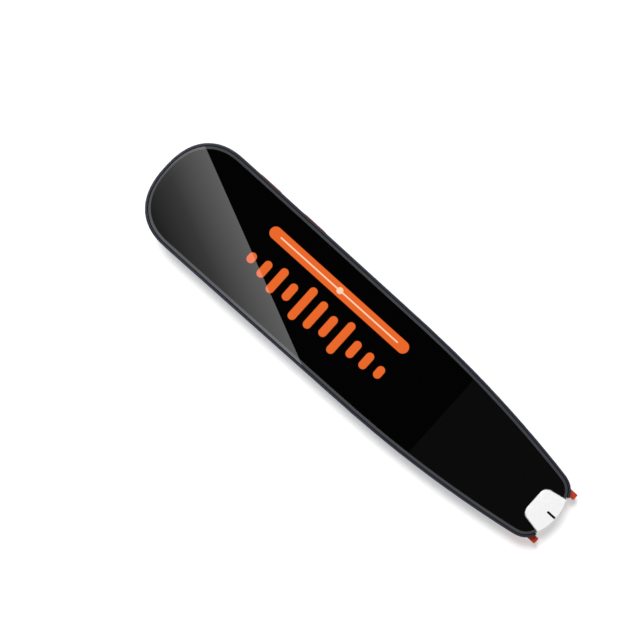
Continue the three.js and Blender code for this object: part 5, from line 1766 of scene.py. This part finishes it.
class PEN_OT_side_buttons(bpy.types.Operator):
    """Build the two side buttons with their flanges"""

    bl_idname = "pen.side_buttons"
    bl_label = "Side buttons"

    def execute(self, context):
        scene = context.scene
        form = PenForm(scene.pen_body)
        button = scene.pen_buttons
        for name, centre in (("upper", button.upper), ("lower", button.lower)):
            self.button(scene, form, name, centre)
        return {"FINISHED"}

    def button(self, scene, form, name, centre):
        body, button = scene.pen_body, scene.pen_buttons
        cap = stadium(form.x(centre), button.middle, button.length, button.height)

        def surface(x, z):
            return -form.side(form.butt - x, z) - button.proud

        inner = button.flange_inset - body.width / 2
        edge = button.edge
        levels = [(0, inner + OVERLAP)]
        levels.extend(
            (inset, lambda x, z, drop=drop: surface(x, z) + drop)
            for drop, inset in quarter_round(edge, EDGE_STEPS + 1)
        )
        middle = button.height / 2
        levels.extend((edge + (middle - edge) * share, surface) for share in CAP_RINGS)
        piece = stack(f"{name}_button_fine", cap, levels, crosswise)
        flange = stack("flange", stadium(
            form.x(centre), button.middle, button.length + 2 * button.border,
            button.height - button.gap,
        ), [(0, inner), (0, inner + button.flange)], crosswise)
        combine(piece, "UNION", [flange])
        dress(piece, f"{name}_key", "orange_plastic", f"{name}_button", angle=35)


# How far in the rings on a button's face lie, as shares of half its height without the edge.
CAP_RINGS = (0.15, 0.3, 0.45, 0.6, 0.75, 0.9, 0.98)


class PEN_OT_speaker_grille(bpy.types.Operator):
    """Build the round grille and pierce its slots and dots"""

    bl_idname = "pen.speaker_grille"
    bl_label = "Speaker grille"

    def execute(self, context):
        scene = context.scene
        speaker = scene.pen_speaker
        form = PenForm(scene.pen_body)
        centre = form.x(speaker.centre)
        edge = speaker.edge
        rings = [(speaker.radius * share, 0) for share in GRILLE_RINGS]
        disc = stack("speaker_grille_fine", circle(centre, 0, speaker.radius, GRILLE_STEPS), [
            *rings, (edge, 0), (0, edge), (0, speaker.thickness),
        ])
        grow(disc, self.pierced(), {
            "Centre": Vector((centre, 0, 0)), "Thickness": speaker.thickness, "Edge": edge,
            "Slots": speaker.slots, "Slot width": speaker.slot_width,
            "Slot middle": (speaker.slot_inner + speaker.slot_outer) / 2,
            "Slot length": speaker.slot_outer - speaker.slot_inner,
            "Dot radius": speaker.dot_radius, "Inner dots": speaker.inner_dots,
            "Outer dots": speaker.outer_dots, "Material": finish("shell_plastic"),
        })
        dress(disc, "housing", "shell_plastic", "speaker_grille")
        # The grille takes the same painted shade where it nears the rolled sides.
        mark_painted_shade(disc, form)
        return {"FINISHED"}

    def pierced(self):
        """A tree that cuts bevelled slots and dots out of a disc, all round its middle."""
        tree, given = new_tree("Pierced grille", [
            ("Centre", VECTOR), ("Slots", "NodeSocketInt"),
            *((name, FLOAT) for name in (
                "Thickness", "Edge", "Slot width", "Slot middle", "Slot length",
                "Dot radius", "Inner dots", "Outer dots",
            )),
            ("Material", MATERIAL),
        ])
        out = given.outputs
        straight = add_node(tree, MATH, {
            0: out["Slot length"], 1: out["Slot width"],
        }, operation="SUBTRACT")
        slot_radius = add_node(tree, MATH, {0: out["Slot width"], 1: 0.5}, operation="MULTIPLY")
        cutters = [
            (self.cutter(tree, out, slot_radius, straight), "Slot middle", 0.0),
            (self.cutter(tree, out, out["Dot radius"], 0.0), "Inner dots", 0.5),
            (self.cutter(tree, out, out["Dot radius"], 0.0), "Outer dots", 0.5),
        ]
        placed = add_node(tree, JOIN)
        for cutter, reach, offset in cutters:
            ring = add_node(tree, "GeometryNodeMeshLine", {"Count": out["Slots"]}, mode="OFFSET")
            index = add_node(tree, "GeometryNodeInputIndex")
            turn = index
            for operation, value in (
                ("ADD", offset), ("DIVIDE", out["Slots"]), ("MULTIPLY", 2 * math.pi),
            ):
                turn = add_node(tree, MATH, {0: turn, 1: value}, operation=operation)
            cosine = add_node(tree, MATH, {0: turn}, operation="COSINE")
            sine = add_node(tree, MATH, {0: turn}, operation="SINE")
            way = add_node(tree, COMBINE, {0: cosine, 1: sine})
            spot = add_node(tree, VECTOR_MATH, {0: way, "Scale": out[reach]}, operation="SCALE")
            spot = add_node(tree, VECTOR_MATH, {0: spot, 1: out["Centre"]}, operation="ADD")
            points = add_node(tree, "GeometryNodeSetPosition", {0: ring, "Position": spot})
            spin = add_node(tree, COMBINE, {2: turn})
            spin = add_node(tree, "FunctionNodeEulerToRotation", {0: spin})
            copies = add_node(tree, "GeometryNodeInstanceOnPoints", {
                "Points": points, "Instance": cutter, "Rotation": spin,
            })
            tree.links.new(copies.outputs[0], placed.inputs[0])
        tools = add_node(tree, "GeometryNodeRealizeInstances", {0: placed})
        cut = add_node(tree, "GeometryNodeMeshBoolean", {
            "Mesh 1": out["Geometry"], "Mesh 2": tools,
        }, operation="DIFFERENCE", solver="EXACT")
        end_tree(tree, cut, out["Material"])
        return tree

    def cutter(self, tree, out, radius, straight):
        """A round-ended cutter that flares at its lower, outer end."""
        flared = add_node(tree, MATH, {0: radius, 1: out["Edge"]}, operation="ADD")
        flared = add_node(tree, MATH, {0: flared, 1: OVERLAP}, operation="ADD")
        roof = add_node(tree, MATH, {0: out["Thickness"], 1: OVERLAP}, operation="ADD")
        hulls = []
        for low_radius, low, high_radius, high in (
            (flared, -OVERLAP, radius, out["Edge"]), (radius, 0.0, radius, roof),
        ):
            rims = add_node(tree, JOIN)
            for rim_radius, height in ((low_radius, low), (high_radius, high)):
                for side in (-0.5, 0.5):
                    rim = add_node(tree, "GeometryNodeMeshCircle", {
                        "Vertices": CUTTER_STEPS, "Radius": rim_radius,
                    })
                    shift = add_node(tree, MATH, {0: straight, 1: side}, operation="MULTIPLY")
                    lift = add_node(tree, COMBINE, {0: shift, 2: height})
                    moved = add_node(tree, TRANSFORM, {0: rim, "Translation": lift})
                    tree.links.new(moved.outputs[0], rims.inputs[0])
            hulls.append(add_node(tree, "GeometryNodeConvexHull", {0: rims}))
        both = add_node(tree, "GeometryNodeMeshBoolean", {}, operation="UNION", solver="EXACT")
        for hull in hulls:
            tree.links.new(hull.outputs[0], both.inputs["Mesh 2"])
        return both


# How far in the rings on the grille's face lie, as shares of its radius.
GRILLE_RINGS = (0.8, 0.6, 0.4, 0.3, 0.2, 0.1)


class PEN_OT_charging_port(bpy.types.Operator):
    """Build the charging port's sheet-metal shell, its tongue and the contacts"""

    bl_idname = "pen.charging_port"
    bl_label = "Charging port"

    def execute(self, context):
        scene = context.scene
        port = scene.pen_port
        form = PenForm(scene.pen_body)
        mouth = form.x(port.inset)
        rear = form.x(port.inset + port.depth)
        lip = port.wall / 2
        outer = stadium(0, port.middle, port.width, port.height)
        shell = stack("port_shell_fine", outer, [
            (0, rear), (0, mouth - lip), (lip * EDGE_SHARE, mouth - lip * EDGE_SHARE), (lip, mouth),
        ], lengthwise)
        inner = stadium(0, port.middle, port.width - 2 * port.wall, port.height - 2 * port.wall)
        combine(shell, "DIFFERENCE", [stack("port_bore", inner, [
            (0, rear - OVERRUN), (0, mouth - lip), (-lip * MOUTH_FLARE, mouth + lip),
        ], lengthwise)])
        dress(shell, "housing", "steel", "port_shell")
        clear = port.wall + PLUG_CLEARANCE
        plug = stack("port_tongue_fine", stadium(
            0, port.middle, port.width - 2 * clear, port.height - 2 * clear,
        ), [(0, rear), (0, rear + port.base)], lengthwise)
        half = port.tongue_thickness / 2
        end = mouth - port.tongue_inset
        tongue = stack("tongue", rounded(
            -port.tongue_width / 2, port.tongue_width / 2, port.middle - half, port.middle + half,
            TONGUE_CORNER,
        ), [(0, rear + port.base / 2), (0, end - half / 2), (half * TONGUE_POINT, end)], lengthwise)
        combine(plug, "UNION", [tongue])
        dress(plug, "housing", "black_plastic", "port_tongue")
        contacts = grow(bare("port_contacts"), self.contact_rows(), {
            "Count": port.contacts, "Pitch": port.contact_pitch, "Width": port.contact_width,
            "Length": port.contact_length, "Half thickness": half,
            "Middle": Vector((end - CONTACT_END - port.contact_length / 2, 0, port.middle)),
            "Material": finish("steel"),
        })
        dress(contacts, "housing", "steel")
        return {"FINISHED"}

    def contact_rows(self):
        """A tree that lays a row of flat contacts on each side of the tongue."""
        tree, given = new_tree("Contact rows", [
            ("Count", "NodeSocketInt"),
            *((name, FLOAT) for name in ("Pitch", "Width", "Length", "Half thickness")),
            ("Middle", VECTOR), ("Material", MATERIAL),
        ])
        out = given.outputs
        first = out["Count"]
        for operation, value in (("ADD", -1.0), ("MULTIPLY", out["Pitch"]), ("MULTIPLY", -0.5)):
            first = add_node(tree, MATH, {0: first, 1: value}, operation=operation)
        size = add_node(tree, COMBINE, {0: out["Length"], 1: out["Width"], 2: CONTACT_SKIN})
        strip = add_node(tree, "GeometryNodeMeshCube", {"Size": size})
        rows = add_node(tree, JOIN)
        for side in (1.0, -1.0):
            height = add_node(tree, MATH, {0: out["Half thickness"], 1: side}, operation="MULTIPLY")
            start = add_node(tree, COMBINE, {1: first, 2: height})
            step = add_node(tree, COMBINE, {1: out["Pitch"]})
            line = add_node(tree, "GeometryNodeMeshLine", {
                "Count": out["Count"], "Start Location": start, "Offset": step,
            }, mode="OFFSET")
            copies = add_node(tree, "GeometryNodeInstanceOnPoints", {
                "Points": line, "Instance": strip,
            })
            tree.links.new(copies.outputs[0], rows.inputs[0])
        moved = add_node(tree, TRANSFORM, {0: rows, "Translation": out["Middle"]})
        end_tree(tree, moved, out["Material"])
        return tree


CONTACT_SKIN = 0.08 * MM
CONTACT_END = 0.5 * MM
PLUG_CLEARANCE = 0.1 * MM
TONGUE_CORNER = 0.12 * MM
TONGUE_POINT = 0.4
MOUTH_FLARE = 1.4


class PEN_OT_inner_finishes(bpy.types.Operator):
    """Give every piece that the frame carries over its real finish"""

    bl_idname = "pen.inner_finishes"
    bl_label = "Inner finishes"

    def execute(self, context):
        slots = {
            part["node"]: part["material_slot"] for part in frame["record"]["subparts"]
        }
        for name, piece in frame["nodes"].items():
            for slot in piece.material_slots:
                slot.material = finish(slots[name])
        return {"FINISHED"}


OPERATORS = (
    PEN_OT_stage, PEN_OT_inner_finishes, PEN_OT_back_shell, PEN_OT_cover_glass, PEN_OT_scan_tip,
    PEN_OT_scan_trigger, PEN_OT_side_buttons, PEN_OT_speaker_grille, PEN_OT_charging_port,
)


class PEN_PT_panel(bpy.types.Panel):
    """Lists the pen's pieces and their sizes"""

    bl_idname = "PEN_PT_panel"
    bl_label = "Scanning Pen"
    bl_space_type = "VIEW_3D"
    bl_region_type = "UI"
    bl_category = "Pen"

    def draw(self, context):
        for operator in OPERATORS:
            self.layout.operator(operator.bl_idname)
        for name, group in GROUPS.items():
            settings = getattr(context.scene, name)
            column = self.layout.column(align=True)
            column.label(text=group.__doc__)
            for field in group.__annotations__:
                column.prop(settings, field)


GROUPS = {
    "pen_body": PenBodySizes,
    "pen_glass": GlassSizes,
    "pen_tip": TipSizes,
    "pen_trigger": TriggerSizes,
    "pen_speaker": SpeakerSizes,
    "pen_buttons": ButtonSizes,
    "pen_port": PortSizes,
    "pen_colours": FinishColours,
    "pen_stage": StageSizes,
}


def register():
    for group in GROUPS.values():
        bpy.utils.register_class(group)
    for name, group in GROUPS.items():
        setattr(bpy.types.Scene, name, bpy.props.PointerProperty(type=group))
    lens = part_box("camera_lens")
    bpy.types.Scene.pen_camera_height = bpy.props.FloatProperty(
        name="Camera height", description="Height of the camera's axis in the tip",
        default=(lens[0].z + lens[1].z) / 2, subtype="DISTANCE", unit="LENGTH",
    )
    for kind in (*OPERATORS, PEN_PT_panel):
        bpy.utils.register_class(kind)


def unregister():
    for kind in (PEN_PT_panel, *OPERATORS):
        bpy.utils.unregister_class(kind)
    del bpy.types.Scene.pen_camera_height
    for name, group in GROUPS.items():
        delattr(bpy.types.Scene, name)
        bpy.utils.unregister_class(group)


def main():
    register()
    for operator in OPERATORS:
        group, name = operator.bl_idname.split(".")
        getattr(getattr(bpy.ops, group), name)()


if __name__ == "__main__":
    main()
